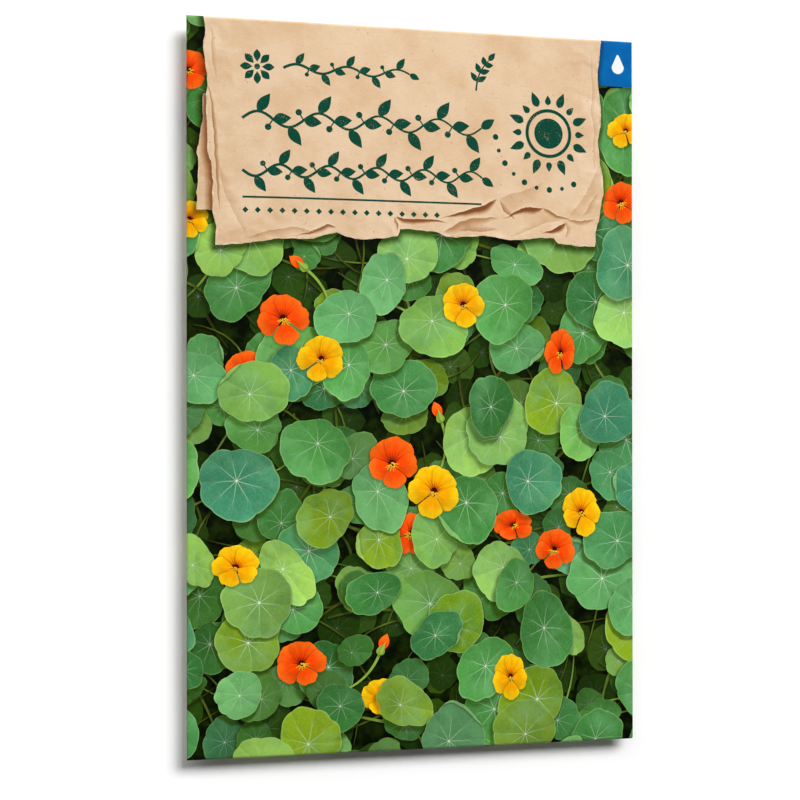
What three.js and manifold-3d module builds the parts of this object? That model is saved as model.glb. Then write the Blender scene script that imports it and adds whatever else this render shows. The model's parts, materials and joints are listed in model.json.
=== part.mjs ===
// A filled seed packet, lying on its back. One sheet of printed paper is folded into a
// front panel, a back panel and three glued flaps, and nasturtium seeds lie loose inside.
// Millimetres, +Z up, +Y towards the packet's top edge. The origin is the middle of its
// footprint, on the surface that it lies on.
import * as THREE from "three";
import { mergeVertices } from "three/addons/utils/BufferGeometryUtils.js";
import Module from "manifold-3d";

// Driving dimensions of the folded sheet.
const WIDTH = 100; // over the two side folds
const HEIGHT = 155; // over the top and bottom folds
const THICKNESS = 7.2; // where the packet is fullest
const PAPER = 0.2; // one layer of the sheet
const EDGE_LEVEL = 4; // the side folds' height above the resting surface
const FOLD_RADIUS = 0.45; // outside radius of a side fold
const CORNER_RADIUS = 1.4; // the panel's corners, in plan

// The pouch swells from its folds to a plateau, fuller towards the bottom.
const SWELL = { across: 3, top: 2.4, bottom: 5 }; // exponents: a higher one is squarer
const FLAT_SHARE = 0.8; // the back lies flat where the packet is at least this full

// The flaps fold over the back panel. A taper is how much narrower a flap's free edge
// is at each end.
const SIDE_FLAP = { depth: 11, taper: 4, endGap: 2.5 };
const BOTTOM_FLAP = { depth: 14, taper: 5, endGap: 2 };
const TOP_FLAP = { depth: 19, taper: 7, endGap: 2 };
const GLUE_SINK = 0.1; // how far a glued flap is fused into the wall under it

// The mouth that stays open at each end of the top fold.
const VENT = { width: 1.8, depth: 1.8, height: 0.3, fromSide: 1.6 };

// How finely the surfaces are divided.
const PANEL_CELLS = { across: 15, along: 21 };
const END_FLAP_CELLS = { across: 18, down: 5 };
const SIDE_FLAP_CELLS = { across: 3, along: 20 };
const FOLD_CELLS = 4; // round a fold's half circle

// The seeds.
const SEED_COUNT = 16;
const SEED_SIZE = { length: 7.9, width: 5.9, height: 4.8 }; // the largest one
const SEED_SMALLEST = 0.9; // as a share of the largest
const SEED_FORM = { wedge: 0.07, rib: 0.055, endRib: 0.02, taper: 0.1 }; // shares of its size
const SEED_RIBS = { fewest: 5, most: 7, sway: 1.6, swayTurns: 4 };
const SEED_ROLL = 0.25; // radians to either side
const SEED_FACETS = 3; // subdivisions of an icosahedron
const SEED_SPREAD = { x: 21, low: -50, high: 14 }; // where seed centres may lie
const SEED_SPACING = 9.2; // the least distance between two centres
const SEED_GAP = 0.3; // clearance over the paper that a seed rests on
const SEED_DRAW = 7; // seeds the random draw

const wasm = await Module();
wasm.setup();

// --- The packet's surfaces ---------------------------------------------------------

const insetX = WIDTH / 2 - FOLD_RADIUS;
const insetY = HEIGHT / 2 - FOLD_RADIUS;

// 0 at the folds and 1 where the packet is fullest.
function fullness(x, y) {
  const u = Math.min(1, Math.abs(x) / insetX);
  const v = Math.min(1, Math.abs(y) / insetY);
  const along = y > 0 ? SWELL.top : SWELL.bottom;
  return (1 - u ** SWELL.across) * (1 - v ** along);
}

function frontLevel(x, y) {
  const edge = EDGE_LEVEL + FOLD_RADIUS;
  return edge + (THICKNESS - edge) * fullness(x, y);
}

function backLevel(x, y) {
  const edge = EDGE_LEVEL - FOLD_RADIUS;
  return edge * (1 - Math.min(1, fullness(x, y) / FLAT_SHARE));
}

// The outer face of the side flap where it covers the back panel, and of the back
// panel beside it.
function seamLevel(x, y) {
  const covered = x > WIDTH / 2 - SIDE_FLAP.depth && Math.abs(y) < HEIGHT / 2 - SIDE_FLAP.endGap;
  return backLevel(x, y) - (covered ? PAPER : 0);
}

// --- Solids from grids of plan positions -------------------------------------------

const evenly = (from, to, steps) =>
  Array.from({ length: steps + 1 }, (_, i) => from + ((to - from) * i) / steps);

// Rows run along X and columns along Y.
const planOf = (xs, ys, place) => xs.map((x) => ys.map((y) => place(x, y)));

// A closed solid between two surfaces over a plan. A wall point with an outward
// direction is rounded to a half circle, as folded paper is.
function slab(plan, upper, lower, outward) {
  const positions = [];
  const index = [];
  const put = (x, y, z) => positions.push(x, y, z) / 3 - 1;
  const last = [plan.length - 1, plan[0].length - 1];
  const top = plan.map((row) => row.map(([x, y]) => put(x, y, upper(x, y))));
  const bottom = plan.map((row) => row.map(([x, y]) => put(x, y, lower(x, y))));
  const quad = (a, b, c, d) => index.push(a, b, c, a, c, d);
  for (let i = 0; i < last[0]; i++)
    for (let j = 0; j < last[1]; j++) {
      quad(top[i][j], top[i + 1][j], top[i + 1][j + 1], top[i][j + 1]);
      quad(bottom[i][j], bottom[i][j + 1], bottom[i + 1][j + 1], bottom[i + 1][j]);
    }
  const rim = [];
  for (let i = 0; i < last[0]; i++) rim.push([i, 0]);
  for (let j = 0; j < last[1]; j++) rim.push([last[0], j]);
  for (let i = last[0]; i > 0; i--) rim.push([i, last[1]]);
  for (let j = last[1]; j > 0; j--) rim.push([0, j]);
  const walls = rim.map(([i, j]) => {
    const [x, y] = plan[i][j];
    const [high, low] = [upper(x, y), lower(x, y)];
    const [middle, radius] = [(high + low) / 2, (high - low) / 2];
    const way = outward(x, y);
    if (!way) return [top[i][j], bottom[i][j]];
    const round = evenly(0, Math.PI, FOLD_CELLS).slice(1, -1);
    const between = round.map((turn) => {
      const out = radius * Math.sin(turn);
      return put(x + way[0] * out, y + way[1] * out, middle + radius * Math.cos(turn));
    });
    return [top[i][j], ...between, bottom[i][j]];
  });
  walls.forEach((wall, k) => stitch(index, wall, walls[(k + 1) % walls.length]));
  const geometry = new THREE.BufferGeometry();
  geometry.setAttribute("position", new THREE.Float32BufferAttribute(positions, 3));
  return geometry.setIndex(index);
}

// Joins two neighbouring wall columns, from the upper surface down.
function stitch(index, left, right) {
  let [a, b] = [0, 0];
  while (a < left.length - 1 || b < right.length - 1) {
    const leftNext = (a + 1) / (left.length - 1);
    const rightNext = (b + 1) / (right.length - 1);
    if (a < left.length - 1 && (b === right.length - 1 || leftNext <= rightNext)) {
      index.push(left[a], left[a + 1], right[b]);
      a++;
    } else {
      index.push(left[a], right[b + 1], right[b]);
      b++;
    }
  }
}

function solidOf(geometry) {
  const merged = mergeVertices(geometry, 1e-4);
  return new wasm.Manifold(
    new wasm.Mesh({
      numProp: 3,
      vertProperties: merged.attributes.position.array,
      triVerts: new Uint32Array(merged.index.array),
    }),
  );
}

function geometryOf(solid) {
  const { vertProperties, triVerts } = solid.getMesh();
  const geometry = new THREE.BufferGeometry();
  geometry.setAttribute("position", new THREE.BufferAttribute(vertProperties, 3));
  geometry.setIndex(new THREE.BufferAttribute(triVerts, 1));
  geometry.computeVertexNormals();
  return geometry;
}

// --- The folded sheet --------------------------------------------------------------

// A rounded rectangle filled by a grid, with a two-step arc at each corner.
function panelPlan(halfWidth, halfHeight, corner) {
  const lines = (half, cells) => [-half, ...evenly(corner - half, half - corner, cells), half];
  const across = lines(halfWidth, PANEL_CELLS.across);
  const along = lines(halfHeight, PANEL_CELLS.along);
  const pull = corner * (1 - Math.SQRT1_2);
  return planOf(across, along, (x, y) => {
    const atCorner = Math.abs(x) === halfWidth && Math.abs(y) === halfHeight;
    const inward = atCorner ? pull : 0;
    return [x - Math.sign(x) * inward, y - Math.sign(y) * inward];
  });
}

// The way out of a rounded panel at a point of its outline.
function panelOutward(halfWidth, halfHeight, corner) {
  return (x, y) => {
    const past = [Math.abs(x) - (halfWidth - corner), Math.abs(y) - (halfHeight - corner)];
    const way = past.map((p, k) => Math.max(0, p) * Math.sign([x, y][k]));
    const length = Math.hypot(...way);
    return way.map((w) => w / length);
  };
}

function pouch() {
  const outerCorner = CORNER_RADIUS - FOLD_RADIUS;
  const outer = slab(
    panelPlan(insetX, insetY, outerCorner),
    frontLevel,
    backLevel,
    panelOutward(insetX, insetY, outerCorner),
  );
  const inner = slab(
    panelPlan(insetX, insetY, outerCorner),
    (x, y) => frontLevel(x, y) - PAPER,
    (x, y) => backLevel(x, y) + PAPER,
    panelOutward(insetX, insetY, outerCorner),
  );
  return solidOf(outer).subtract(solidOf(inner));
}

// A flap's upper side: level with the fold it hangs from, and then sunk into the wall.
const fusedLevel = (inFold, x, y) => (inFold ? EDGE_LEVEL : backLevel(x, y) + GLUE_SINK);

// The radius of a flap's fold, which runs along the side or end of the packet.
const foldRadius = (lowest, x, y) => (EDGE_LEVEL - lowest(x, y)) / 2;

// side is 1 for the top of the packet and -1 for the bottom. The plan runs from one end
// of the flap to the other, and from the fold to the free edge.
function endFlap({ depth, taper, endGap }, side) {
  const lowest = (x, y) => seamLevel(x, y) - PAPER;
  const fold = HEIGHT / 2 - foldRadius(lowest, 0, side * insetY);
  const rows = evenly(fold, HEIGHT / 2 - depth, END_FLAP_CELLS.down).map((y) => side * y);
  const upwards = side > 0 ? rows.reverse() : rows;
  const plan = planOf(evenly(-1, 1, END_FLAP_CELLS.across), upwards, (end, y) => {
    const down = HEIGHT / 2 - Math.abs(y);
    return [end * (WIDTH / 2 - endGap - (taper * down) / depth), y];
  });
  const inFold = (y) => Math.abs(y) === fold;
  const highest = (x, y) => fusedLevel(inFold(y), x, y);
  return solidOf(slab(plan, highest, lowest, (x, y) => (inFold(y) ? [0, side] : null)));
}

function sideFlap({ depth, taper, endGap }) {
  const lowest = (x, y) => backLevel(x, y) - PAPER;
  const fold = WIDTH / 2 - foldRadius(lowest, insetX, 0);
  const across = evenly(WIDTH / 2 - depth, fold, SIDE_FLAP_CELLS.across);
  const plan = planOf(across, evenly(-1, 1, SIDE_FLAP_CELLS.along), (x, end) => {
    const down = WIDTH / 2 - x;
    return [x, end * (HEIGHT / 2 - endGap - (taper * down) / depth)];
  });
  const highest = (x, y) => fusedLevel(x === fold, x, y);
  return solidOf(slab(plan, highest, lowest, (x) => (x === fold ? [1, 0] : null)));
}

// The slot between the front and the back panel at one end of the top fold, where the
// flap is narrower than the packet. side is 1 for the right end and -1 for the left.
function vent(side) {
  const slot = new THREE.BoxGeometry(VENT.width, VENT.depth, VENT.height);
  const x = side * (WIDTH / 2 - VENT.fromSide - VENT.width / 2);
  return solidOf(bare(slot.translate(x, HEIGHT / 2, EDGE_LEVEL)));
}

function paperPacket() {
  const folded = pouch()
    .add(sideFlap(SIDE_FLAP))
    .add(endFlap(BOTTOM_FLAP, -1))
    .add(endFlap(TOP_FLAP, 1))
    .subtract(vent(-1))
    .subtract(vent(1));
  // The largest body is the sheet. The rest are specks of air trapped in the glue.
  const bodies = folded.decompose();
  return bodies.reduce((most, body) => (body.volume() > most.volume() ? body : most));
}

// --- The seeds ---------------------------------------------------------------------

function randomFrom(start) {
  let state = start >>> 0;
  return () => {
    state = (state + 0x6d2b79f5) >>> 0;
    let t = state;
    t = Math.imul(t ^ (t >>> 15), t | 1);
    t ^= t + Math.imul(t ^ (t >>> 7), t | 61);
    return ((t ^ (t >>> 14)) >>> 0) / 4294967296;
  };
}

// Places that keep their distance from each other, in the order drawn.
function seedPlaces(random) {
  const { x: halfX, low, high } = SEED_SPREAD;
  const places = [];
  while (places.length < SEED_COUNT) {
    const place = [halfX * (2 * random() - 1), low + (high - low) * random()];
    if (places.every(([x, y]) => Math.hypot(place[0] - x, place[1] - y) > SEED_SPACING))
      places.push(place);
  }
  return places;
}

// One corky seed, a rounded three-sided wedge with meandering ribs from end to end.
function seedGeometry(random) {
  const geometry = mergeVertices(bare(new THREE.IcosahedronGeometry(0.5, SEED_FACETS)));
  const { fewest, most, sway, swayTurns } = SEED_RIBS;
  const ribs = fewest + Math.floor(random() * (most - fewest + 1));
  const [phase, swayPhase] = [random() * 2 * Math.PI, random() * 2 * Math.PI];
  const size = SEED_SMALLEST + (1 - SEED_SMALLEST) * random();
  const points = geometry.getAttribute("position");
  const p = new THREE.Vector3();
  for (let i = 0; i < points.count; i++) {
    p.fromBufferAttribute(points, i);
    const around = Math.atan2(p.z, p.y);
    const along = 2 * p.x; // -1 at one end and 1 at the other
    const girth = Math.sqrt(Math.max(0, 1 - along * along));
    const rib = Math.sin(ribs * around + phase + sway * Math.sin(swayTurns * along + swayPhase));
    const wedge = 1 + SEED_FORM.wedge * Math.cos(3 * around + phase) * girth;
    const cork = 1 + SEED_FORM.rib * rib * girth;
    const swell = size * wedge * cork * (1 - SEED_FORM.taper * along);
    points.setXYZ(
      i,
      p.x * SEED_SIZE.length * size * (1 + SEED_FORM.endRib * rib),
      p.y * SEED_SIZE.width * swell,
      p.z * SEED_SIZE.height * swell,
    );
  }
  geometry.rotateX(SEED_ROLL * (2 * random() - 1));
  geometry.computeVertexNormals();
  return geometry;
}

// Leaves a geometry its positions alone, so that shared corners can be merged.
function bare(geometry) {
  geometry.deleteAttribute("normal");
  geometry.deleteAttribute("uv");
  return geometry;
}

// --- The assembly ------------------------------------------------------------------

const packet = new THREE.Group();

const paper = new THREE.MeshStandardMaterial({ color: 0x6f8f4e, roughness: 0.6, metalness: 0 });
const sheet = new THREE.Mesh(geometryOf(paperPacket()), paper);
sheet.name = "paper_packet";
packet.add(sheet);

const cork = new THREE.MeshStandardMaterial({ color: 0xb08d5f, roughness: 0.9, metalness: 0 });
const random = randomFrom(SEED_DRAW);
seedPlaces(random).forEach(([x, y], i) => {
  const seed = new THREE.Mesh(seedGeometry(random), cork);
  seed.name = `seed_${String(i + 1).padStart(2, "0")}`;
  seed.geometry.computeBoundingBox();
  seed.rotation.z = random() * 2 * Math.PI;
  seed.position.set(x, y, PAPER + SEED_GAP - seed.geometry.boundingBox.min.z);
  packet.add(seed);
});

export default packet;
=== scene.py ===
"""A filled seed packet, lying face up: one folded sheet of printed paper with nasturtium seeds in it.

The sheet is laid out flat first, as a printer's blank: the front panel in the middle, the back panel to
its left and the three glue flaps round it. What is printed on it is a stack of patches, each an outline
with an ink. One triangulation cuts them all, each triangle takes the ink of the uppermost patch over it,
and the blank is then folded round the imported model's own form. Lengths on the blank are millimetres.
"""

from __future__ import annotations

import json
import logging
import math
import random
from abc import ABC, abstractmethod
from dataclasses import dataclass, field
from enum import IntEnum
from typing import Any, Iterable, Sequence, Union

import bpy
import numpy as np
from mathutils import Matrix, Vector
from mathutils.geometry import delaunay_2d_cdt

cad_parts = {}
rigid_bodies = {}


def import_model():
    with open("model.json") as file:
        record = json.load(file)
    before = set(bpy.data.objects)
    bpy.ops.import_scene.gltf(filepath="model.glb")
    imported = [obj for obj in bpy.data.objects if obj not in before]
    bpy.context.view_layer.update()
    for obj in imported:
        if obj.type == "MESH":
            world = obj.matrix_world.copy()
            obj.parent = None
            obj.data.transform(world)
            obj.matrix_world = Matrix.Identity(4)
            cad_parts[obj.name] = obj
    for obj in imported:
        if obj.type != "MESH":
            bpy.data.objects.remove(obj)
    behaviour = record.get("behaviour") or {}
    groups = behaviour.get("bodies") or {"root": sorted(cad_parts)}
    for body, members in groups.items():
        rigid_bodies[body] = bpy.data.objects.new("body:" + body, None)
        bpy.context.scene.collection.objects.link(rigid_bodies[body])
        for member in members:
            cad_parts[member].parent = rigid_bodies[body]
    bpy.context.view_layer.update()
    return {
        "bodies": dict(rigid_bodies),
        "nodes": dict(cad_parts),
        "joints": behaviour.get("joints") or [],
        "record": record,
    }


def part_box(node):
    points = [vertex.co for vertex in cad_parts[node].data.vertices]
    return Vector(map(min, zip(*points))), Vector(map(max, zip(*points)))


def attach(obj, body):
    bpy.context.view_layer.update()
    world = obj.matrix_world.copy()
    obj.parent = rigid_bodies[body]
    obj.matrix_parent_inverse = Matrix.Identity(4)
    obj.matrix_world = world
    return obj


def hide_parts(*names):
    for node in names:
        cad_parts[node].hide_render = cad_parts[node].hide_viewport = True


LOG = logging.getLogger("seed_packet")
MM = 0.001  # one millimetre in metres
SHEET_NODE = "paper_packet"
SEED_PREFIX = "seed_"
TURN = 2 * math.pi
LEAF_RIBS = 9  # of each leaf, whose rim dips in where they end
SUN_BEARING = math.radians(65)  # from where the printed light falls
UV_MAP = "OFBake"

Points = np.ndarray  # rows of x, y
Pair = tuple[float, float]
Value = Union[float, "Signal"]
Colour = tuple[float, float, float, float]


# --- Small helpers ---


def srgb(red: int, green: int, blue: int) -> Colour:
    """Turns a screen colour into the linear one that a shader takes.

    Args:
        red: 0 to 255.
        green: 0 to 255.
        blue: 0 to 255.

    Returns:
        The colour as linear red, green, blue and alpha.
    """

    def linear(level: int) -> float:
        """One of its parts."""
        share = level / 255
        return share / 12.92 if share <= 0.04045 else ((share + 0.055) / 1.055) ** 2.4

    return (linear(red), linear(green), linear(blue), 1.0)


def make_active(piece: bpy.types.Object) -> None:
    """Selects one piece, and no other, for the operators that follow."""
    for other in bpy.context.selected_objects:
        other.select_set(False)
    piece.select_set(True)
    bpy.context.view_layer.objects.active = piece


def turned(points: Points, angle: float) -> Points:
    """Turns points about the origin.

    Args:
        points: Rows of x, y.
        angle: Radians, anticlockwise.

    Returns:
        The turned points.
    """
    cos, sin = math.cos(angle), math.sin(angle)
    return np.asarray(points) @ np.array([[cos, sin], [-sin, cos]])


def is_inside(points: Points, outline: Points) -> np.ndarray:
    """Tells which points lie inside a closed outline, also where it crosses itself.

    Args:
        points: The points to place.
        outline: The closed outline.

    Returns:
        One answer for each point.
    """
    start = np.asarray(outline)
    end = np.roll(start, -1, axis=0)
    px, py = points[:, :1], points[:, 1:]
    up = (start[:, 1] <= py) & (end[:, 1] > py)
    down = (start[:, 1] > py) & (end[:, 1] <= py)
    rise = np.where(np.abs(end[:, 1] - start[:, 1]) < 1e-12, 1e-12, end[:, 1] - start[:, 1])
    ahead = px < start[:, 0] + (py - start[:, 1]) * (end[:, 0] - start[:, 0]) / rise
    return (up & ahead).sum(1) != (down & ahead).sum(1)


def numbers_inside(points: Points, outline: Points) -> np.ndarray:
    """Picks the points that lie inside a closed outline.

    Args:
        points: The points to place.
        outline: The closed outline.

    Returns:
        The numbers of the points inside.
    """
    near = np.flatnonzero(((points >= outline.min(0)) & (points <= outline.max(0))).all(1))
    return near[is_inside(points[near], outline)]


def gap_to(points: Points, outline: Points) -> np.ndarray:
    """Measures how far points lie from a closed outline's line.

    Args:
        points: The points to measure.
        outline: The closed outline.

    Returns:
        One distance for each point.
    """
    start = np.asarray(outline)
    side = np.roll(start, -1, axis=0) - start
    to_point = points[:, None, :] - start[None]
    share = np.einsum("pkc,kc->pk", to_point, side) / np.maximum((side**2).sum(1), 1e-12)
    nearest = to_point - np.clip(share, 0, 1)[..., None] * side[None]
    return np.sqrt((nearest**2).sum(2).min(1))


def stretch_counts(lines: np.ndarray, longest: float) -> np.ndarray:
    """How many even stretches, none longer than a given length, each straight line makes."""
    return np.ceil(np.linalg.norm(lines[:, 1] - lines[:, 0], axis=1) / longest).astype(int).clip(1)


def in_stretches(lines: np.ndarray, longest: float) -> np.ndarray:
    """Splits straight lines evenly, so that none is longer than a given length.

    Args:
        lines: Rows of start and end points.
        longest: The longest stretch allowed.

    Returns:
        The stretches, as rows of start and end points.
    """
    parts = stretch_counts(lines, longest)
    row = np.repeat(np.arange(len(lines)), parts)
    step = np.arange(len(row)) - np.repeat(np.cumsum(parts) - parts, parts)
    share = np.column_stack([step, step + 1])[..., None] / parts[row][:, None, None]
    return lines[row, :1] + share * (lines[row, 1:] - lines[row, :1])


def fenced_in(found: Sequence[Any], fence: int) -> np.ndarray:
    """Picks the triangles of a triangulation that lie inside its closed outline.

    Args:
        found: What the triangulation gave back.
        fence: How many of the given edges, the first ones, make up the outline.

    Returns:
        The triangles that can't be reached from outside without crossing the outline.
    """
    triangles, size = np.array(found[2]), len(found[0])
    sides = np.sort(triangles[:, [[0, 1], [1, 2], [2, 0]]], axis=2).reshape(-1, 2) @ [size, 1]
    shut = [sorted(edge) for edge, given in zip(found[1], found[4]) if min(given, default=fence) < fence]
    is_open = ~np.isin(sides, np.array(shut) @ [size, 1])
    order = np.argsort(sides, kind="stable")
    first = np.flatnonzero(sides[order][1:] == sides[order][:-1])
    beside = np.full(len(sides), -1)
    beside[order[first]], beside[order[first + 1]] = order[first + 1] // 3, order[first] // 3
    outer = (np.flatnonzero(is_open & (beside < 0)) // 3).tolist()
    near = np.where(is_open, beside, -1).reshape(-1, 3).tolist()
    outside = np.zeros(len(triangles), bool)
    while outer:
        triangle = outer.pop()
        if not outside[triangle]:
            outside[triangle] = True
            outer += [other for other in near[triangle] if other >= 0]
    return triangles[~outside]


# --- Outlines ---


def heading_of(start: Points, end: Points) -> float:
    """The bearing from one point to another."""
    return math.atan2(*(end - start)[::-1])


def leftwards(line: Points) -> Points:
    """Unit vectors to the left of an open line, one for each of its points."""
    ahead = np.gradient(line, axis=0)
    ahead /= np.linalg.norm(ahead, axis=1)[:, None]
    return np.column_stack([-ahead[:, 1], ahead[:, 0]])


def disc(radius: float, corners: int) -> Points:
    """A circle about the origin, as a polygon."""
    angle = np.linspace(0, TURN, corners, endpoint=False)
    return radius * np.column_stack([np.cos(angle), np.sin(angle)])


def box_outline(low: Sequence[float], high: Sequence[float]) -> Points:
    """An upright rectangle from its lowest and highest corner."""
    return np.array([[low[0], low[1]], [high[0], low[1]], [high[0], high[1]], [low[0], high[1]]], float)


def lens_outline(length: float, width: float, steps: int = 7, fullest: float = 0.42) -> Points:
    """A pointed leaf that grows from the origin along X.

    Args:
        length: From stalk to tip.
        width: Across its fullest place.
        steps: Points along each side.
        fullest: Where it is fullest, as a share of its length.

    Returns:
        The closed outline.
    """
    along = np.linspace(0, 1, steps + 1)
    bend = math.log(0.5) / math.log(fullest)
    half = 0.5 * width * np.sin(math.pi * along**bend)
    lower = np.column_stack([along * length, -half])
    upper = np.column_stack([along * length, half])[-2:0:-1]
    return np.vstack([lower, upper])


def drop_outline(radius: float, steps: int = 44) -> Points:
    """A water drop about the origin, round below and pointed above."""
    angle = np.linspace(0, TURN, steps, endpoint=False) - math.pi / 2
    rise = np.clip(np.sin(angle), 0, 1)
    across = np.cos(angle) * (1 - 0.42 * rise**1.5)
    return radius * np.column_stack([across, np.sin(angle) * (1 + 0.95 * rise**2)])


def strip_outline(path: Points, start_width: float, end_width: float | None = None) -> Points:
    """A band along an open path.

    Args:
        path: The band's middle line.
        start_width: The band's width at the path's start.
        end_width: The band's width at its end, or None for the same width.

    Returns:
        The closed outline.
    """
    last = start_width if end_width is None else end_width
    across = 0.5 * np.linspace(start_width, last, len(path))[:, None] * leftwards(path)
    return np.vstack([path - across, (path + across)[::-1]])


def rounded_outline(corners: Iterable[tuple[float, float, float]], steps: int = 5) -> Points:
    """A polygon with its corners rounded.

    Args:
        corners: x, y and rounding radius of each corner, anticlockwise.
        steps: Points on each rounded corner.

    Returns:
        The closed outline.
    """
    rows = [(Vector((x, y)), radius) for x, y, radius in corners]
    found: list[Vector] = []
    for index, (corner, radius) in enumerate(rows):
        if radius <= 0:
            found.append(corner)
            continue
        before = (rows[index - 1][0] - corner).normalized()
        after = (rows[(index + 1) % len(rows)][0] - corner).normalized()
        half_angle = before.angle(after) / 2
        reach = radius / math.tan(half_angle)
        centre = corner + (before + after).normalized() * (radius / math.sin(half_angle))
        first, last = corner + before * reach - centre, corner + after * reach - centre
        bearings = (first.slerp(last, step / steps).normalized() for step in range(steps + 1))
        found += [centre + radius * bearing for bearing in bearings]
    return np.array(found)


def torn_line(
    anchors: Sequence[Pair], roughness: float, draw: random.Random, longest: float = 0.9
) -> Points:
    """Roughens an open line by moving the middle of each stretch sideways, again and again.

    Args:
        anchors: The line's main points.
        roughness: Sideways movement as a share of a stretch's length.
        draw: The random numbers to use.
        longest: The length that a stretch has at most in the end.

    Returns:
        The torn line's points.
    """
    line = [np.array(anchor, float) for anchor in anchors]
    while max(np.linalg.norm(b - a) for a, b in zip(line, line[1:])) > longest:
        finer = [line[0]]
        for a, b in zip(line, line[1:]):
            ahead = b - a
            if np.linalg.norm(ahead) > longest:
                sideways = np.array([-ahead[1], ahead[0]])
                finer.append((a + b) / 2 + sideways * draw.uniform(-roughness, roughness))
            finer.append(b)
        line = finer
    return np.array(line)


# --- The folded packet ---


@dataclass(frozen=True)
class Flap:
    """A glue flap: how far it reaches from its fold, and how its ends are cut."""

    depth: float
    taper: float
    end_gap: float
    corner: float


@dataclass(frozen=True)
class PacketForm:
    """The packet's folded form, and the way from the flat blank to it, in millimetres."""

    half_width: float
    half_height: float
    thickness: float
    paper: float = 0.15  # the sheet's own thickness
    layer: float = 0.2  # from one layer's outer face to the next one's
    edge_level: float = 4.0  # height of the folds' middle
    edge_half: float = 0.45  # half the height of a folded edge
    fold_reach: float = 0.55  # how far a fold bulges past its line
    allowance: float = 1.6  # the sheet's length round one fold
    swell_across: float = 3.0  # the higher these three, the flatter the middle and the steeper the edge
    swell_top: float = 2.4
    swell_bottom: float = 5.0
    ripple: float = 0.1  # height of the slight waves of a handled sheet
    play: float = 0.02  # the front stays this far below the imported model's top
    flat_share: float = 0.8  # the fullness from which the back lies flat on the floor
    side_flap: Flap = Flap(11.0, 4.0, 1.1, 2.0)
    bottom_flap: Flap = Flap(14.0, 5.0, 1.1, 2.5)
    top_flap: Flap = Flap(19.0, 7.0, 1.1, 3.0)
    panel_corner: float = 1.0
    corner_overlap: float = 0.66  # how far a cut corner runs past the fold lines, to lie flush with them
    back_inset: float = 0.45  # the back panel's cut edges stay this far inside the folds
    bleed: float = 1.2  # how far the front's print runs on past the folds

    @property
    def fold_x(self) -> float:
        """Where the side folds begin, from the middle."""
        return self.half_width - self.fold_reach

    @property
    def fold_y(self) -> float:
        """Where the end folds begin, from the middle."""
        return self.half_height - self.fold_reach

    @property
    def bleed_x(self) -> float:
        """Where the front's print ends on the blank, to the left and right."""
        return self.fold_x + self.allowance + self.bleed

    @property
    def bleed_y(self) -> float:
        """Where the front's print ends on the blank, at the top and bottom."""
        return self.fold_y + self.allowance + self.bleed

    @property
    def back_centre(self) -> float:
        """The blank's x at the middle of the back panel."""
        return -(2 * self.fold_x + self.allowance)

    def fullness(self, x: np.ndarray, y: np.ndarray) -> np.ndarray:
        """How swollen the packet is: 0 at the folds and 1 at its fullest."""
        u = np.clip(np.abs(x) / (self.half_width - self.edge_half), 0, 1)
        v = np.clip(np.abs(y) / (self.half_height - self.edge_half), 0, 1)
        along = np.where(y > 0, self.swell_top, self.swell_bottom)
        return (1 - u**self.swell_across) * (1 - v**along)

    def front_level(self, x: np.ndarray, y: np.ndarray) -> np.ndarray:
        """Height of the front panel's printed face."""
        edge = self.edge_level + self.edge_half
        full = self.fullness(x, y)
        waves = np.sin(x / 9.0 + 0.8 * np.sin(y / 23.0)) * np.sin(y / 14.0 + 1.3)
        ripple = self.ripple * waves * np.clip(4 * full, 0, 1) * (1.2 - full)
        return edge + (self.thickness - edge) * full + ripple - self.play

    def back_level(self, x: np.ndarray, y: np.ndarray) -> np.ndarray:
        """Height of the back panel's outer face."""
        edge = self.edge_level - self.edge_half
        return edge * (1 - np.clip(self.fullness(x, y) / self.flat_share, 0, 1))

    def side_level(self, x: np.ndarray, y: np.ndarray) -> np.ndarray:
        """Height of the side flap's outer face."""
        return self.back_level(x, y) - self.layer

    def end_level(self, x: np.ndarray, y: np.ndarray) -> np.ndarray:
        """Height of an end flap's outer face, which drapes over the side flap's edges."""
        over_x = np.clip(x - (self.half_width - self.side_flap.depth) + 1, 0, 1)
        over_y = np.clip(self.fold_y - np.abs(y), 0, 1)
        return self.back_level(x, y) - self.layer * (1 + over_x * over_y)

    def outline(self) -> Points:
        """The blank's cut outline, anticlockwise from the bottom flap's left end."""
        hx, hy, round_fold = self.fold_x, self.fold_y, self.allowance
        cut_x, cut_y = hx + self.corner_overlap, hy + self.corner_overlap
        side, bottom, top = self.side_flap, self.bottom_flap, self.top_flap

        def free_edge(fold: float, half: float, flap: Flap) -> float:
            """How far from the middle a flap ends on the blank."""
            return fold + round_fold + flap.depth - (half - fold)

        low = -free_edge(hy, self.half_height, bottom)
        high = free_edge(hy, self.half_height, top)
        far = free_edge(hx, self.half_width, side)
        left = -(hx + round_fold + 2 * hx - self.back_inset)
        back_half = hy - self.back_inset
        bottom_half, top_half = self.half_width - bottom.end_gap, self.half_width - top.end_gap
        side_half = self.half_height - side.end_gap
        corner = self.panel_corner
        return rounded_outline(
            [
                (-bottom_half, -cut_y, 0),
                (bottom.taper - bottom_half, low, bottom.corner),
                (bottom_half - bottom.taper, low, bottom.corner),
                (bottom_half, -cut_y, 0),
                (cut_x, -cut_y, corner),
                (cut_x, -side_half, 0),
                (far, side.taper - side_half, side.corner),
                (far, side_half - side.taper, side.corner),
                (cut_x, side_half, 0),
                (cut_x, cut_y, corner / 3),
                (top_half, cut_y, 0),
                (top_half - top.taper, high, top.corner),
                (top.taper - top_half, high, top.corner),
                (-top_half, cut_y, 0),
                (-cut_x, cut_y, corner / 3),
                (-cut_x - corner, back_half, corner / 3),
                (left, back_half, corner),
                (left, -back_half, corner),
                (-cut_x - corner, -back_half, corner / 3),
                (-cut_x, -cut_y, corner / 3),
            ]
        )

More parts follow.
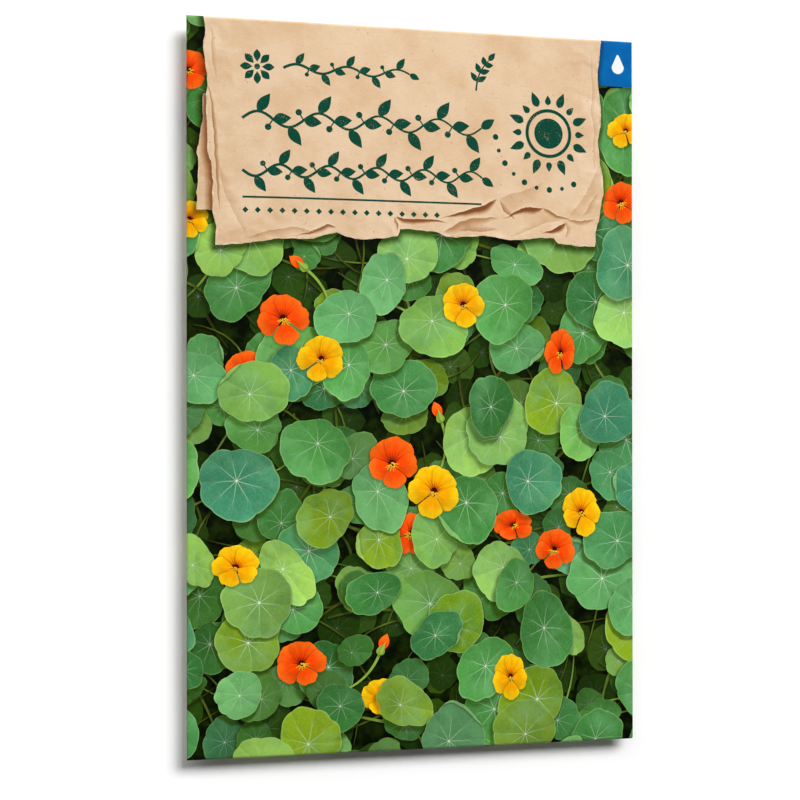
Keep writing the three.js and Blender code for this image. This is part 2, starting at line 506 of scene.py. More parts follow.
    def turn_over(self, beyond: np.ndarray) -> tuple[np.ndarray, np.ndarray]:
        """Follows the sheet round a fold.

        Args:
            beyond: Distances on the blank past the fold line.

        Returns:
            How far out of the fold line each point ends up, and its share of the way to the underside.
        """
        angle = math.pi * np.clip(beyond / self.allowance, 0, 1)
        out = self.fold_reach * np.sin(angle) - np.maximum(beyond - self.allowance, 0)
        return out, (1 - np.cos(angle)) / 2

    def fold(self, blank: Points) -> np.ndarray:
        """Folds points of the blank's printed face into place.

        Args:
            blank: Rows of x, y on the blank.

        Returns:
            Rows of x, y, z on the packet.
        """
        s, t = blank[:, 0], blank[:, 1]
        out_x, under_x = self.turn_over(np.maximum(np.abs(s) - self.fold_x, 0))
        out_y, under_y = self.turn_over(np.maximum(np.abs(t) - self.fold_y, 0))
        x = np.sign(s) * (np.minimum(np.abs(s), self.fold_x) + out_x)
        y = np.sign(t) * (np.minimum(np.abs(t), self.fold_y) + out_y)
        x_in = np.clip(x, -self.fold_x, self.fold_x)
        y_in = np.clip(y, -self.fold_y, self.fold_y)
        end, side, back = (level(x_in, y_in) for level in (self.end_level, self.side_level, self.back_level))
        under = np.hypot(under_x, under_y)
        below = np.where(s > 0, side, back)
        below += (end - below) * (under_y / np.maximum(under, 1e-9)) ** 2
        z = (1 - under) * self.front_level(x_in, y_in) + under * below
        return np.column_stack([x, y, z])

    def inner_face(self, blank: Points, step: float = 0.01) -> np.ndarray:
        """Places points of the blank on the folded sheet's inner face.

        Args:
            blank: Rows of x, y on the blank.
            step: How far off on the blank the places are that tell how the sheet slopes.

        Returns:
            Rows of x, y, z on the packet.
        """
        east, north = (self.fold(blank + way) - self.fold(blank - way) for way in ([step, 0.0], [0.0, step]))
        out = np.cross(east, north)
        return self.fold(blank) - self.paper * out / np.linalg.norm(out, axis=1)[:, None]

    def fold_lines(self, steps: int = 7) -> list[Points]:
        """Straight lines on the blank along which the sheet bends, to be kept as edges."""
        reach_x, reach_y = 4 * self.half_width, 2 * self.half_height
        lines: list[Points] = []
        for step in self.allowance * np.linspace(0, 1, steps + 1):
            for side in (-1, 1):
                x, y = side * (self.fold_x + step), side * (self.fold_y + step)
                lines.append(np.array([[x, -reach_y], [x, reach_y]]))
                lines.append(np.array([[-reach_x, y], [reach_x, y]]))
        return lines


# --- What is printed ---


class Ink(IntEnum):
    """What a part of the sheet shows. The value is its material slot, and bare paper is the last."""

    UNDERGROWTH = 0
    STEM = 1
    LEAF = 2
    PETAL_RED = 3
    PETAL_GOLD = 4
    EYE = 5
    KRAFT = 6
    TORN_FIBRE = 7
    GREEN = 8
    BLUE = 9
    WHITE = 10
    BACK = 11
    BARE = 12


@dataclass(frozen=True)
class Facet:
    """One side of a crease in the sheet: fully lit or shaded along the crease, and gone at its far edge."""

    line: Points
    far: Points
    width: float
    light: float
    core: float  # the share of its width that has its full light

    def edges(self) -> list[Points]:
        """The lines that its shading follows, each there and back again."""
        lines = (self.line + share * (self.far - self.line) for share in (0.0, self.core, (1 + self.core) / 2, 1.0))
        return [np.vstack([line, line[::-1]]) for line in lines]

    def brightness(self, points: Points) -> np.ndarray:
        """What the facet multiplies the sheet's brightness by at each point."""
        found = np.ones(len(points))
        near = numbers_inside(points, np.vstack([self.line, self.far[::-1]]))
        gaps = [gap_to(points[near], np.vstack([edge, edge[::-1]])) for edge in (self.line, self.far)]
        width = np.maximum(gaps[0] + gaps[1], 1e-6)
        strength = np.clip((1 - gaps[0] / width) / (1 - self.core), 0, 1)
        found[near] += (self.light - 1) * strength * np.clip(3 * width / self.width, 0, 1)
        return found


@dataclass
class Patch:
    """One printed shape: its outline on the blank, its ink, and the frame that its pattern follows."""

    ink: Ink
    outline: Points
    centre: Pair = (0.0, 0.0)
    to_own: np.ndarray = field(default_factory=lambda: np.eye(2))  # from millimetres to the pattern's units
    turn: float = 0.0
    tone: float = 0.5
    light: float = 1.0
    softness: float = 0.0  # width of the soft edge of the shadow that it throws, in millimetres
    depth: float = 0.0  # darkness of that shadow
    drop: float = 0.0  # how far that shadow falls from it, in millimetres
    fade: tuple[Points, Points, float] | None = None  # from where, to where and to what light its light changes

    def shadow(self, towards: Points, share: float) -> Points:
        """The outline of its shadow, from the full dark at share 0 to the last trace at share 1."""
        along = np.roll(self.outline, -1, axis=0) - np.roll(self.outline, 1, axis=0)
        along /= np.maximum(np.linalg.norm(along, axis=1), 1e-6)[:, None]
        outwards = np.column_stack([along[:, 1], -along[:, 0]])
        return self.outline + towards * self.drop + outwards * self.softness * share

    def raised(self, softness: float, depth: float, drop: float) -> Patch:
        """Gives it a shadow to throw, and gives it back."""
        self.softness, self.depth, self.drop = softness, depth, drop
        return self


def own_frame(size: float, turn: float, squash: float = 1.0, squash_turn: float = 0.0) -> np.ndarray:
    """The matrix from millimetres on the blank to a pattern's own units.

    Args:
        size: Millimetres to one of the pattern's units.
        turn: The pattern's turn on the blank, in radians.
        squash: How much the pattern is flattened, for a bloom seen at a slant.
        squash_turn: The direction of the flattening, in radians.

    Returns:
        A 2 by 2 matrix.
    """
    slant = turned(np.eye(2), squash_turn)
    flatten = slant.T @ np.diag([1 / squash, 1.0]) @ slant
    return turned(np.eye(2), turn) @ flatten / size


def stamp(outline: Points, place: Sequence[float] = (0.0, 0.0), turn: float = 0.0) -> Patch:
    """A dark green mark, turned and then moved to its place."""
    return Patch(Ink.GREEN, turned(outline, turn) + np.asarray(place, float))


@dataclass(frozen=True)
class LeafTier:
    """Leaves at one depth of the foliage, from the darkest at the back to the brightest in front."""

    pitch: float
    smallest: float
    largest: float
    light: Pair
    jitter: float
    share: float  # of the places that hold a leaf
    corners: int
    depth: float  # darkness of the leaves' shadows
    stems: float  # how many stems each of its leaves shows
    curled: float = 0.0  # the share of its leaves that have a curled rim


@dataclass(frozen=True)
class Petal:
    """One of a blossom's petals: its turn from the uppermost place, half its width, and how it is shaded."""

    turn: float
    half_width: float
    reach: float
    claw: float  # its width at the throat, as a share
    tone: float  # under 0.5 for the two upper petals, which carry the dark guide marks


@dataclass(frozen=True)
class Bloom:
    """An open flower: where it is, how big, how it is turned, and whether leaves lie over it."""

    x: float
    y: float
    radius: float
    ink: Ink
    lean: float = 0.0
    squash: float = 1.0
    behind: bool = False


@dataclass
class Foliage:
    """A dense bed of round leaves with their stalks in the middle, and of single blossoms and buds."""

    form: PacketForm
    seed: int = 41
    margin: float = 6.0  # how far it is drawn past the print's edge
    tiers: tuple[LeafTier, ...] = (
        LeafTier(8.6, 2.8, 5.4, (0.12, 0.3), 0.42, 0.76, 18, 0.0, 0.5),
        LeafTier(10.8, 3.4, 6.8, (0.44, 0.86), 0.43, 0.82, 36, 0.46, 1.0, 0.08),
        LeafTier(13.2, 4.2, 9.9, (0.81, 1.08), 0.41, 0.88, 60, 0.44, 1.6, 0.14),
    )
    waves: tuple[tuple[int, float], ...] = ((2, 0.1), (3, 0.07), (5, 0.04), (8, 0.02), (13, 0.01))
    scallop: float = 0.05  # how far the rim dips in at the end of each rib
    hub_shift: float = 0.24  # how far the stalk is off the middle at most
    petals: tuple[Petal, ...] = (
        Petal(0.54, 0.62, 1.0, 0.5, 0.1),
        Petal(-0.54, 0.62, 1.0, 0.5, 0.35),
        Petal(1.78, 0.49, 1.0, 0.22, 0.62),
        Petal(-1.78, 0.49, 1.0, 0.22, 0.8),
        Petal(math.pi, 0.5, 0.98, 0.22, 0.95),
    )
    blooms: tuple[Bloom, ...] = (
        Bloom(-30.0, 14.5, 5.3, Ink.PETAL_RED, 0.2, 0.95),
        Bloom(-22.0, 6.0, 5.0, Ink.PETAL_GOLD, -0.3, 0.9),
        Bloom(-38.0, 4.0, 4.4, Ink.PETAL_RED, 0.6, 0.8, True),
        Bloom(9.5, 18.0, 4.8, Ink.PETAL_GOLD, 0.25),
        Bloom(32.0, 8.0, 4.7, Ink.PETAL_RED, -0.4, 0.72),
        Bloom(-6.5, -16.0, 5.3, Ink.PETAL_RED, 0.15, 0.96),
        Bloom(2.8, -22.0, 5.2, Ink.PETAL_GOLD, -0.2),
        Bloom(-2.5, -31.0, 4.5, Ink.PETAL_RED, -0.7, 0.85, True),
        Bloom(37.0, -27.0, 4.9, Ink.PETAL_GOLD, 0.3, 0.9),
        Bloom(30.5, -35.0, 4.5, Ink.PETAL_RED, -0.1, 0.94),
        Bloom(21.0, -29.5, 4.4, Ink.PETAL_RED, 0.9, 0.74, True),
        Bloom(-40.0, -37.5, 4.8, Ink.PETAL_GOLD, -0.35, 0.86),
        Bloom(-26.0, -58.0, 5.1, Ink.PETAL_RED, 0.35, 0.92),
        Bloom(20.5, -62.5, 4.8, Ink.PETAL_GOLD, 0.1, 0.76),
        Bloom(-8.0, -66.0, 4.6, Ink.PETAL_GOLD, 0.8, 0.8, True),
        Bloom(47.0, 41.5, 4.6, Ink.PETAL_RED, 0.3, 0.94),
        Bloom(48.2, 57.5, 4.2, Ink.PETAL_GOLD, -0.4, 0.86),
        Bloom(-49.6, 66.0, 4.2, Ink.PETAL_RED, 0.4, 0.9),
        Bloom(-49.4, 35.0, 4.0, Ink.PETAL_GOLD, -0.2, 0.84),
    )
    buds: tuple[tuple[float, float, float], ...] = (  # x, y and heading
        (4.3, -6.6, 1.95),
        (-9.0, -56.0, 1.2),
        (-25.4, 25.2, 2.5),
    )

    def patches(self) -> list[Patch]:
        """Draws the whole bed, from the back to the front."""
        draw = random.Random(self.seed)
        reach = (self.form.bleed_x + self.margin, self.form.bleed_y + self.margin)
        found = [Patch(Ink.UNDERGROWTH, box_outline((-reach[0], -reach[1]), reach))]
        deep, middle, front = (self.tier_leaves(tier, reach, draw) for tier in self.tiers)
        found += self.stems(deep, self.tiers[0], draw) + sum(deep, [])
        found += self.stems(front, self.tiers[2], draw) + self.stems(middle, self.tiers[1], draw) + sum(middle, [])
        for x, y, heading in self.buds:
            found += self.bud((x, y), heading)
        for behind in (True, False):
            for bloom in self.blooms:
                found += self.bloom_patches(bloom, draw) if bloom.behind is behind else []
            found += sum(front, []) if behind else []
        return found

    def tier_leaves(self, tier: LeafTier, reach: Pair, draw: random.Random) -> list[list[Patch]]:
        """Spreads one tier of leaves over a jittered honeycomb, in a shuffled order.

        Args:
            tier: The tier to spread.
            reach: Half the width and height that the tier covers.
            draw: The random numbers to use.

        Returns:
            The leaves, each with its curled rim where it has one, the lowest first.
        """
        found: list[list[Patch]] = []
        row_step = tier.pitch * math.sqrt(0.75)
        rows = range(-math.ceil(reach[1] / row_step), math.ceil(reach[1] / row_step) + 1)
        columns = range(-math.ceil(reach[0] / tier.pitch), math.ceil(reach[0] / tier.pitch) + 1)
        for row in rows:
            for column in columns:
                x = (column + 0.5 * (row % 2) + draw.uniform(-tier.jitter, tier.jitter)) * tier.pitch
                y = row * row_step + draw.uniform(-tier.jitter, tier.jitter) * tier.pitch
                radius = draw.triangular(tier.smallest, tier.largest, 0.45 * tier.smallest + 0.55 * tier.largest)
                leaf = self.leaf((x, y), radius, tier, draw)
                if draw.random() < tier.share:
                    found.append(leaf)
        draw.shuffle(found)
        return found

    def leaf(self, middle: Pair, radius: float, tier: LeafTier, draw: random.Random) -> list[Patch]:
        """Draws one round leaf: its waved rim dips in where each rib ends, and its stalk is off the middle.

        Args:
            middle: The middle of the blade.
            radius: From there to the rim.
            tier: The depth that it lies at.
            draw: The random numbers to use.

        Returns:
            The leaf, and its curled rim where it has one.
        """
        angle = np.linspace(-math.pi, math.pi, tier.corners, endpoint=False)
        rim = 1 - self.scallop * (1 - np.abs(np.sin(LEAF_RIBS * angle / 2))) ** 1.5
        for turns, wave in self.waves:
            rim += draw.uniform(-1, 1) * wave * np.cos(turns * angle + draw.uniform(0, TURN))
        squash, slant, turn = draw.uniform(0.72, 1.0), draw.uniform(0, TURN), draw.uniform(0, TURN)
        frame = own_frame(radius, turn, squash, slant)
        to_blank = np.linalg.inv(frame).T
        hub = self.hub_shift * draw.uniform(0.2, 1.0)
        local = rim[:, None] * np.column_stack([np.cos(angle), np.sin(angle)])
        local[:, 0] += hub
        centre = np.array(middle) - np.array([hub, 0.0]) @ to_blank
        outline = local @ to_blank + centre
        blade = Patch(Ink.LEAF, outline, tuple(centre), frame, turn, draw.random(), draw.uniform(*tier.light))
        depth, softness, drop = tier.depth * draw.uniform(0.75, 1.25), draw.uniform(0.4, 1.1), draw.uniform(0.35, 1.3)
        blade.raised(softness, depth, drop)
        start, span, width = draw.randrange(tier.corners), draw.uniform(0.12, 0.24), draw.uniform(0.08, 0.2)
        if draw.random() >= tier.curled:
            return [blade]
        arc = (start + np.arange(round(span * tier.corners) + 1)) % tier.corners
        inner = 1 - width * np.sin(np.linspace(0, math.pi, len(arc)))[::-1, None] ** 0.8
        inward = (local[arc][::-1] - [hub, 0.0]) * inner + [hub, 0.0]
        outline = np.vstack([local[arc], inward[1:-1]]) @ to_blank + centre
        curl = Patch(Ink.LEAF, outline, tuple(centre), frame, turn, blade.tone, 1.13 * blade.light)
        return [blade, curl.raised(0.5, 0.34, 0.15)]

    def stems(self, leaves: list[list[Patch]], tier: LeafTier, draw: random.Random) -> list[Patch]:
        """Draws the leaves' stems, which run out from under them and down into the dark.

        Args:
            leaves: The leaves that the stems bear.
            tier: The tier that they belong to.
            draw: The random numbers to use.

        Returns:
            The stems.
        """
        found = []
        for blade, *_ in leaves:
            for _ in range(math.floor(tier.stems + draw.random())):
                heading, length = draw.uniform(0, TURN), draw.uniform(1.2, 3.0) * tier.largest
                share = np.linspace(0, 1, 11)[:, None]
                ahead = np.array([math.cos(heading), math.sin(heading)]) * length
                bow = np.array([-ahead[1], ahead[0]]) * draw.triangular(-0.3, 0.3, 0.0)
                path = np.array(blade.centre) + share * ahead + 4 * share * (1 - share) * bow
                width, frame = draw.uniform(0.3, 0.75), own_frame(length / 2, heading)
                stem = Patch(Ink.STEM, strip_outline(path, width, 0.5 * width), tuple(path[4]), frame, heading)
                stem.tone, stem.light = draw.random(), min(blade.light, draw.uniform(0.5, 1.0))
                stem.fade = (path[3], path[-1], draw.uniform(0.04, 0.22))
                found.append(stem.raised(0.4, 0.5, 0.3))
        return found

    def bloom_patches(self, bloom: Bloom, draw: random.Random) -> list[Patch]:
        """Draws one blossom: five petals, the two upper ones behind, and a deep throat with a golden fringe.

        Args:
            bloom: The blossom's place and size.
            draw: The random numbers to use.

        Returns:
            The petals, the throat and the stamens, the lowest first.
        """
        centre, slant, up = (bloom.x, bloom.y), draw.uniform(0, TURN), math.pi / 2 + bloom.lean
        base = Patch(bloom.ink, disc(0.42 * bloom.radius, 14) + centre, centre, light=0.32, tone=0.1)
        found = [base.raised(1.6, 0.7, 1.3)]
        for petal in self.petals:
            turn = up + petal.turn + draw.uniform(-0.1, 0.1)
            size = 1.08 * bloom.radius * petal.reach * draw.uniform(0.92, 1.06)
            frame = own_frame(size, turn, bloom.squash, slant)
            outline = self.petal_outline(petal, draw) @ np.linalg.inv(frame).T + centre
            blade = Patch(bloom.ink, outline, centre, frame, turn, petal.tone, draw.uniform(0.9, 1.06))
            found.append(blade.raised(0.6, 0.3, 0.25))
        frame = own_frame(bloom.radius, up, bloom.squash, slant)
        to_blank = np.linalg.inv(frame).T

        def drawn(outline: Points, tone: float, light: float) -> Patch:
            """A part of the throat, from its outline in the blossom's own units."""
            return Patch(Ink.EYE, outline @ to_blank + centre, centre, frame, up, tone, light)

        found.append(drawn(disc(0.15, 18) * [1.25, 1.0] + [-0.02, 0.0], 0.0, 0.5))
        for hair in range(7):
            path = np.linspace([0.1, 0.0], [draw.uniform(0.24, 0.36), draw.uniform(-0.03, 0.03)], 3)
            path = turned(path, math.pi + (hair - 3) * 0.42 + draw.uniform(-0.1, 0.1))
            found.append(drawn(strip_outline(path, 0.06, 0.014), 0.85, 1.0))
        for _ in range(6):
            spot = [draw.uniform(-0.16, 0.03), draw.uniform(-0.09, 0.09)]
            found.append(drawn(disc(draw.uniform(0.028, 0.045), 8) + spot, 1.0, 1.15).raised(0.12, 0.5, 0.12))
        return found

    @staticmethod
    def petal_outline(petal: Petal, draw: random.Random, steps: int = 40) -> Points:
        """One petal along X, 1 long: a narrow claw at the throat that opens to a broad, ruffled blade."""
        angle = np.linspace(-math.pi, math.pi, steps, endpoint=False)
        tip = np.clip(np.cos(angle), 0, 1)
        ruffle = 1 + tip**0.7 * 0.045 * np.sin(6 * angle + draw.uniform(0, TURN))
        ruffle += tip**0.7 * 0.022 * np.sin(13 * angle + draw.uniform(0, TURN))
        dent = draw.uniform(0.02, 0.07) * np.exp(-(((angle - draw.uniform(-0.12, 0.12)) / 0.2) ** 2))
        along = 0.56 + 0.44 * np.cos(angle) * (ruffle - dent)
        opened = np.clip(along / 0.66, 0, 1) ** 1.1
        across = petal.half_width * np.sin(angle) * (petal.claw + (1 - petal.claw) * opened) * ruffle
        return np.column_stack([along, across])

    @staticmethod
    def bud(place: Pair, heading: float) -> list[Patch]:
        """A peach-coloured closed bud in its green calyx, on a bowed stem."""
        share = np.linspace(0, 1, 12)
        stem = np.column_stack([-11 * share, 2.6 * share**2 * (1 + share)])
        parts = (
            (Ink.STEM, strip_outline(stem, 0.62, 0.4), 0.95, 0.85),
            (Ink.PETAL_RED, lens_outline(4.4, 2.3, 16, 0.55) - [0.3, 0.0], 1.1, 0.9),
            (Ink.STEM, lens_outline(2.6, 1.9, 12, 0.34) - [0.8, 0.0], 1.0, 0.75),
            (Ink.STEM, lens_outline(3.1, 0.7, 8, 0.3) - [0.6, 0.25], 1.1, 0.95),
        )
        frame = own_frame(3.4, heading)
        return [
            Patch(ink, turned(outline, heading) + place, place, frame, heading, tone, light).raised(0.4, 0.35, 0.3)
            for ink, outline, light, tone in parts
        ]


@dataclass(frozen=True)
class Crease:
    """A fold in the label: its line, the shaded side and the lit one."""

    anchors: tuple[Pair, ...]
    shade: float  # width of the shaded side, to the line's right, or to its left where it is negative
    dark: float = 0.5  # its brightness along the line
    core: float = 0.1  # the share of its width that is fully dark
    gleam: float = 1.06  # the other side's brightness along the line
    fullest: float = 0.5  # where along the line both sides are widest

    def facets(self, draw: random.Random) -> list[Facet]:
        """Draws the shaded side and the lit one, which is narrower."""
        line = torn_line(self.anchors, 0.06, draw)
        widths = (-self.shade, 0.7 * self.shade)
        sides = [facet_edge(line, width, self.fullest) for width in widths]
        return [
            Facet(line, sides[0], abs(widths[0]), self.dark, self.core),
            Facet(line, sides[1], abs(widths[1]), self.gleam, 0.1),
        ]


@dataclass
class KraftLabel:
    """A sheet of kraft paper with torn edges, printed across the top, with a plain botanical ornament."""

    seed: int = 12
    tear: tuple[Pair, ...] = (
        (-46.7, 90.0), (-46.3, 71.0), (-45.5, 63.0), (-45.7, 55.0), (-44.8, 47.0), (-44.2, 43.0), (-44.5, 37.0),
        (-43.6, 33.6), (-44.0, 30.0), (-37.0, 30.5), (-30.0, 31.5), (-23.5, 31.7), (-18.5, 33.2), (-14.5, 31.9),
        (-5.2, 32.6), (-4.7, 34.1), (3.5, 33.8), (8.0, 32.9), (16.0, 33.1), (23.0, 32.6), (30.6, 33.2),
        (31.6, 32.0), (40.3, 31.7), (40.8, 36.8), (42.0, 40.8), (41.5, 50.0), (41.8, 60.0), (41.3, 70.0),
        (41.5, 90.0),
    )
    under: tuple[Pair, ...] = (
        (-43.0, 62.0), (-46.4, 61.0), (-47.2, 52.0), (-47.5, 44.0), (-47.9, 37.2), (-42.0, 36.6),
    )
    fibre_width: float = 0.28
    middle: Pair = (-3.0, 58.0)  # of the paper's pattern
    sun: Pair = (29.6, 56.0)  # the middle of the rayed sun
    creases: tuple[Crease, ...] = (
        Crease(((-46.0, 66.0), (-45.0, 60.0), (-44.4, 52.0), (-44.0, 45.0), (-43.2, 36.0)), -0.9, 0.5, 0.3),
        Crease(((-43.4, 47.0), (-42.0, 40.0), (-39.2, 34.4), (-37.6, 31.6)), -2.4, 0.84, 0.0, 1.07),
        Crease(((-38.4, 31.0), (-33.0, 33.0), (-27.0, 33.8), (-22.0, 32.6)), 1.6, 0.7, 0.1, 1.05),
        Crease(((-29.5, 31.8), (-24.5, 32.7), (-20.6, 34.6), (-18.4, 33.9)), 1.1, 0.3, 0.4, 1.08, 0.7),
        Crease(((-5.6, 36.6), (-2.0, 36.2), (2.4, 36.3), (6.6, 35.4)), 1.2, 0.24, 0.45, 1.06, 0.3),
        Crease(((-5.2, 33.4), (-4.9, 35.0), (-5.7, 36.7)), -0.9, 0.4, 0.3, 1.05),
        Crease(((2.4, 36.0), (7.0, 37.4), (12.6, 39.2), (17.5, 41.3)), 1.9, 0.2, 0.42, 1.08, 0.72),
        Crease(((17.2, 41.2), (23.0, 42.9), (29.0, 45.5)), 4.6, 0.78, 0.0, 1.04, 0.3),
        Crease(((5.0, 33.6), (8.6, 35.9), (13.4, 36.9), (18.4, 37.1)), 2.3, 0.52, 0.2, 1.08, 0.4),
        Crease(((8.4, 34.0), (13.0, 33.9), (17.6, 34.4)), -1.6, 0.6, 0.1, 1.04),
        Crease(((18.0, 41.0), (18.8, 38.6), (21.6, 36.6)), -1.3, 0.5, 0.2, 1.1),
        Crease(((16.2, 35.8), (20.2, 37.6), (24.0, 39.6), (28.2, 39.6)), 1.7, 0.2, 0.45, 1.1, 0.75),
        Crease(((28.0, 39.7), (31.4, 38.0), (35.2, 36.9)), 1.0, 0.42, 0.3, 1.1, 0.3),
        Crease(((26.0, 33.8), (29.8, 34.7), (33.6, 36.6)), 1.5, 0.18, 0.5, 1.08, 0.75),
        Crease(((20.0, 33.0), (24.0, 34.4), (28.6, 36.4), (33.0, 37.2)), -1.3, 0.8, 0.0, 1.07),
        Crease(((33.8, 37.2), (37.0, 37.0), (40.8, 37.6)), 1.1, 0.5, 0.2, 1.09, 0.4),
        Crease(((33.6, 37.4), (36.6, 40.8), (39.6, 45.6), (41.4, 50.0)), 2.6, 0.86, 0.0, 1.08),
        Crease(((37.4, 38.0), (39.6, 41.4), (41.6, 43.6)), 1.5, 0.74, 0.1, 1.07),
        Crease(((33.2, 33.0), (33.8, 35.0), (33.4, 37.0)), 1.0, 0.62, 0.1, 1.05),
        Crease(((40.2, 46.0), (40.5, 56.0), (40.2, 66.0), (40.4, 76.0)), 0.9, 0.82, 0.1, 1.04),
        Crease(((-45.2, 76.0), (-44.8, 70.0), (-44.0, 64.0)), -1.0, 0.76, 0.1),
    )
    facets: list[Facet] = field(default_factory=list)
    torn: Points = field(default_factory=lambda: np.zeros((0, 2)))

    def patches(self) -> list[Patch]:
        """Draws the torn sheet and everything on it."""
        draw = random.Random(self.seed)
        self.torn = torn_line(self.tear, 0.05, draw)
        under = torn_line(self.under, 0.06, draw)
        found = [*self.layer(under, 0.93, draw), *self.layer(self.torn, 1.0, draw)]
        self.facets = [facet for crease in self.creases for facet in crease.facets(draw)]
        return found + self.ornament()

    def layer(self, line: Points, light: float, draw: random.Random) -> list[Patch]:
        """Draws one layer of torn paper, with the pale fibres that stand out of its edge.

        Args:
            line: Its torn edge, anticlockwise. A straight line closes it.
            light: Its brightness.
            draw: The random numbers to use.

        Returns:
            The fibres and the layer.
        """
        knots = [draw.uniform(0.1, 1.7) for _ in range(2 + len(line) // 4)]
        reach = np.interp(np.linspace(0, len(knots) - 1, len(line)), range(len(knots)), knots) * self.fibre_width
        fibres = Patch(Ink.TORN_FIBRE, line - leftwards(line) * reach[:, None], self.middle)
        return [fibres.raised(1.5, 0.72, 0.7), Patch(Ink.KRAFT, line, self.middle, light=light)]

    def ornament(self) -> list[Patch]:
        """Draws the dark green ornament: leafy vines, rules, a small blossom, a rayed sun and a sprig."""
        found = vine(-38.5, 14.0, 56.4, 1.6, 4.0, 4.7) + vine(-38.5, 14.0, 45.6, -1.3, 5.0, 4.0)
        found += [rule(-38.5, 13.8, 39.9, 0.42)]
        found += [stamp(disc(0.66, 4), (-37.9 + 2.6 * step, 37.2)) for step in range(17)]
        found += rosette((-35.2, 67.4), 3.7, 8) + vine(-29.6, -2.0, 67.4, 0.9, 2.5, 3.1)
        found += rayed_sun(self.sun, 5.4, 9.8, 16, Ink.KRAFT)
        for step in range(9):
            dot = disc(0.46 if step % 2 else 0.66, 12)
            found.append(stamp(dot, self.sun + turned([12.4, 0.0], math.radians(186 + 14 * step))))
        return found + sprig((13.0, 64.6), 1.15, 7.4)


def facet_edge(line: Points, width: float, fullest: float) -> Points:
    """The far edge of a facet beside a line, from where it is fullest narrowing to nothing at both ends."""
    share = np.linspace(0, 1, len(line)) ** (math.log(0.5) / math.log(fullest))
    reach = 0.03 + abs(width) * np.sin(math.pi * share)
    return line + reach[:, None] * leftwards(line) * math.copysign(1, width)


def rule(left: float, right: float, y: float, width: float) -> Patch:
    """A straight dark green rule."""
    return stamp(strip_outline(np.linspace((left, y), (right, y), 3), width))


def vine(left: float, right: float, y: float, sway: float, waves: float, leaf: float) -> list[Patch]:
    """Draws a winding vine with pointed leaves on both sides by turns, and berries between.

    Args:
        left: Where its stem begins.
        right: Where it ends.
        y: The height of its middle line.
        sway: How far the stem winds to each side.
        waves: How many times it winds.
        leaf: The length of its leaves.

    Returns:
        The stem, the leaves and the berries.
    """
    share = np.linspace(0, 1, int(waves * 16) + 1)
    line = np.column_stack([np.linspace(left, right, len(share)), y + sway * np.sin(TURN * waves * share)])
    last = lens_outline(0.8 * leaf, 0.44 * leaf, 12)
    found = [stamp(strip_outline(line, 0.62, 0.4)), stamp(last, line[-1], heading_of(line[-3], line[-1]))]
    for index in range(1, int(waves * 4)):
        at = round(index / (4 * waves) * (len(share) - 1))
        heading = heading_of(line[at - 1], line[at + 1])
        side = math.copysign(1, sway) * (1 if index % 4 in (1, 2) else -1)
        length, spread = (leaf, 0.95) if index % 2 else (0.84 * leaf, 0.75)
        found.append(stamp(lens_outline(length, 0.5 * leaf, 12), line[at], heading + side * spread))
        if index % 2 == 0:
            stalk = turned([[0.1, 0.0], [0.42 * leaf, 0.0]], heading - 1.5 * side) + line[at]
            found += [stamp(strip_outline(stalk, 0.3)), stamp(disc(0.15 * leaf, 16), stalk[1])]
    return found


def sprig(root: Pair, heading: float, length: float) -> list[Patch]:
    """A short upright sprig: a bowed stalk with pairs of leaves and one leaf at its tip."""
    share = np.linspace(0, 1, 12)
    path = turned(np.column_stack([share * length, 0.1 * length * np.sin(math.pi * share)]), heading) + root
    found = [stamp(strip_outline(path, 0.42, 0.26))]
    for at, size in ((3, 0.34), (6, 0.32), (9, 0.27)):
        leaf, ahead = lens_outline(size * length, 0.17 * length, 10), heading_of(path[at - 1], path[at + 1])
        found += [stamp(leaf, path[at], ahead + side) for side in (-0.85, 0.85)]
    tip = lens_outline(0.32 * length, 0.17 * length, 10)
    return found + [stamp(tip, path[-1], heading_of(path[-2], path[-1]))]


def rosette(centre: Pair, radius: float, petals: int) -> list[Patch]:
    """A simple drawn flower head: pointed petals round a dot."""
    petal = lens_outline(0.74 * radius, 0.42 * radius, 10, 0.55) + [0.26 * radius, 0.0]
    found = [stamp(petal, centre, TURN * index / petals) for index in range(petals)]
    return found + [stamp(disc(0.17 * radius, 14), centre)]


def rayed_sun(centre: Pair, inner: float, outer: float, rays: int, ground: Ink) -> list[Patch]:
    """Draws a sun: a disc in a ring, and long and short rays.

    Args:
        centre: Its middle.
        inner: The ring's radius.
        outer: How far the long rays reach.
        rays: How many rays it has.
        ground: What shows between the ring and the disc.

    Returns:
        The ring, the ground in it, the disc and the rays.
    """
    gap = Patch(ground, disc(0.86 * inner, 56) + centre)
    found = [stamp(disc(inner, 64), centre), gap, stamp(disc(0.62 * inner, 48), centre)]
    for index in range(rays):
        length, width = (1.0, 0.34) if index % 2 else (0.62, 0.26)
        ray = lens_outline((outer - 1.16 * inner) * length, width * inner, 12, 0.34) + [1.16 * inner, 0.0]
        found.append(stamp(ray, centre, TURN * index / rays))
    return found


@dataclass
class CornerTab:
    """The small blue tab at the top right corner, with a white drop on it."""

    form: PacketForm
    width: float = 8.2
    height: float = 10.2
    drop: float = 1.45  # the drop's radius
    drop_gap: float = 3.6  # from the packet's side to the drop's middle
    drop_share: float = 0.42  # how far up the tab it is

    def patches(self) -> list[Patch]:
        """Draws the tab and its drop."""
        low = (self.form.half_width - self.width, self.form.half_height - self.height)
        high = (self.form.bleed_x + 1, self.form.bleed_y + 1)
        tab = Patch(Ink.BLUE, box_outline(low, high), softness=0.7, depth=0.4, drop=0.3)
        middle = (self.form.half_width - self.drop_gap, low[1] + self.drop_share * self.height)
        return [tab, Patch(Ink.WHITE, drop_outline(self.drop) + middle)]


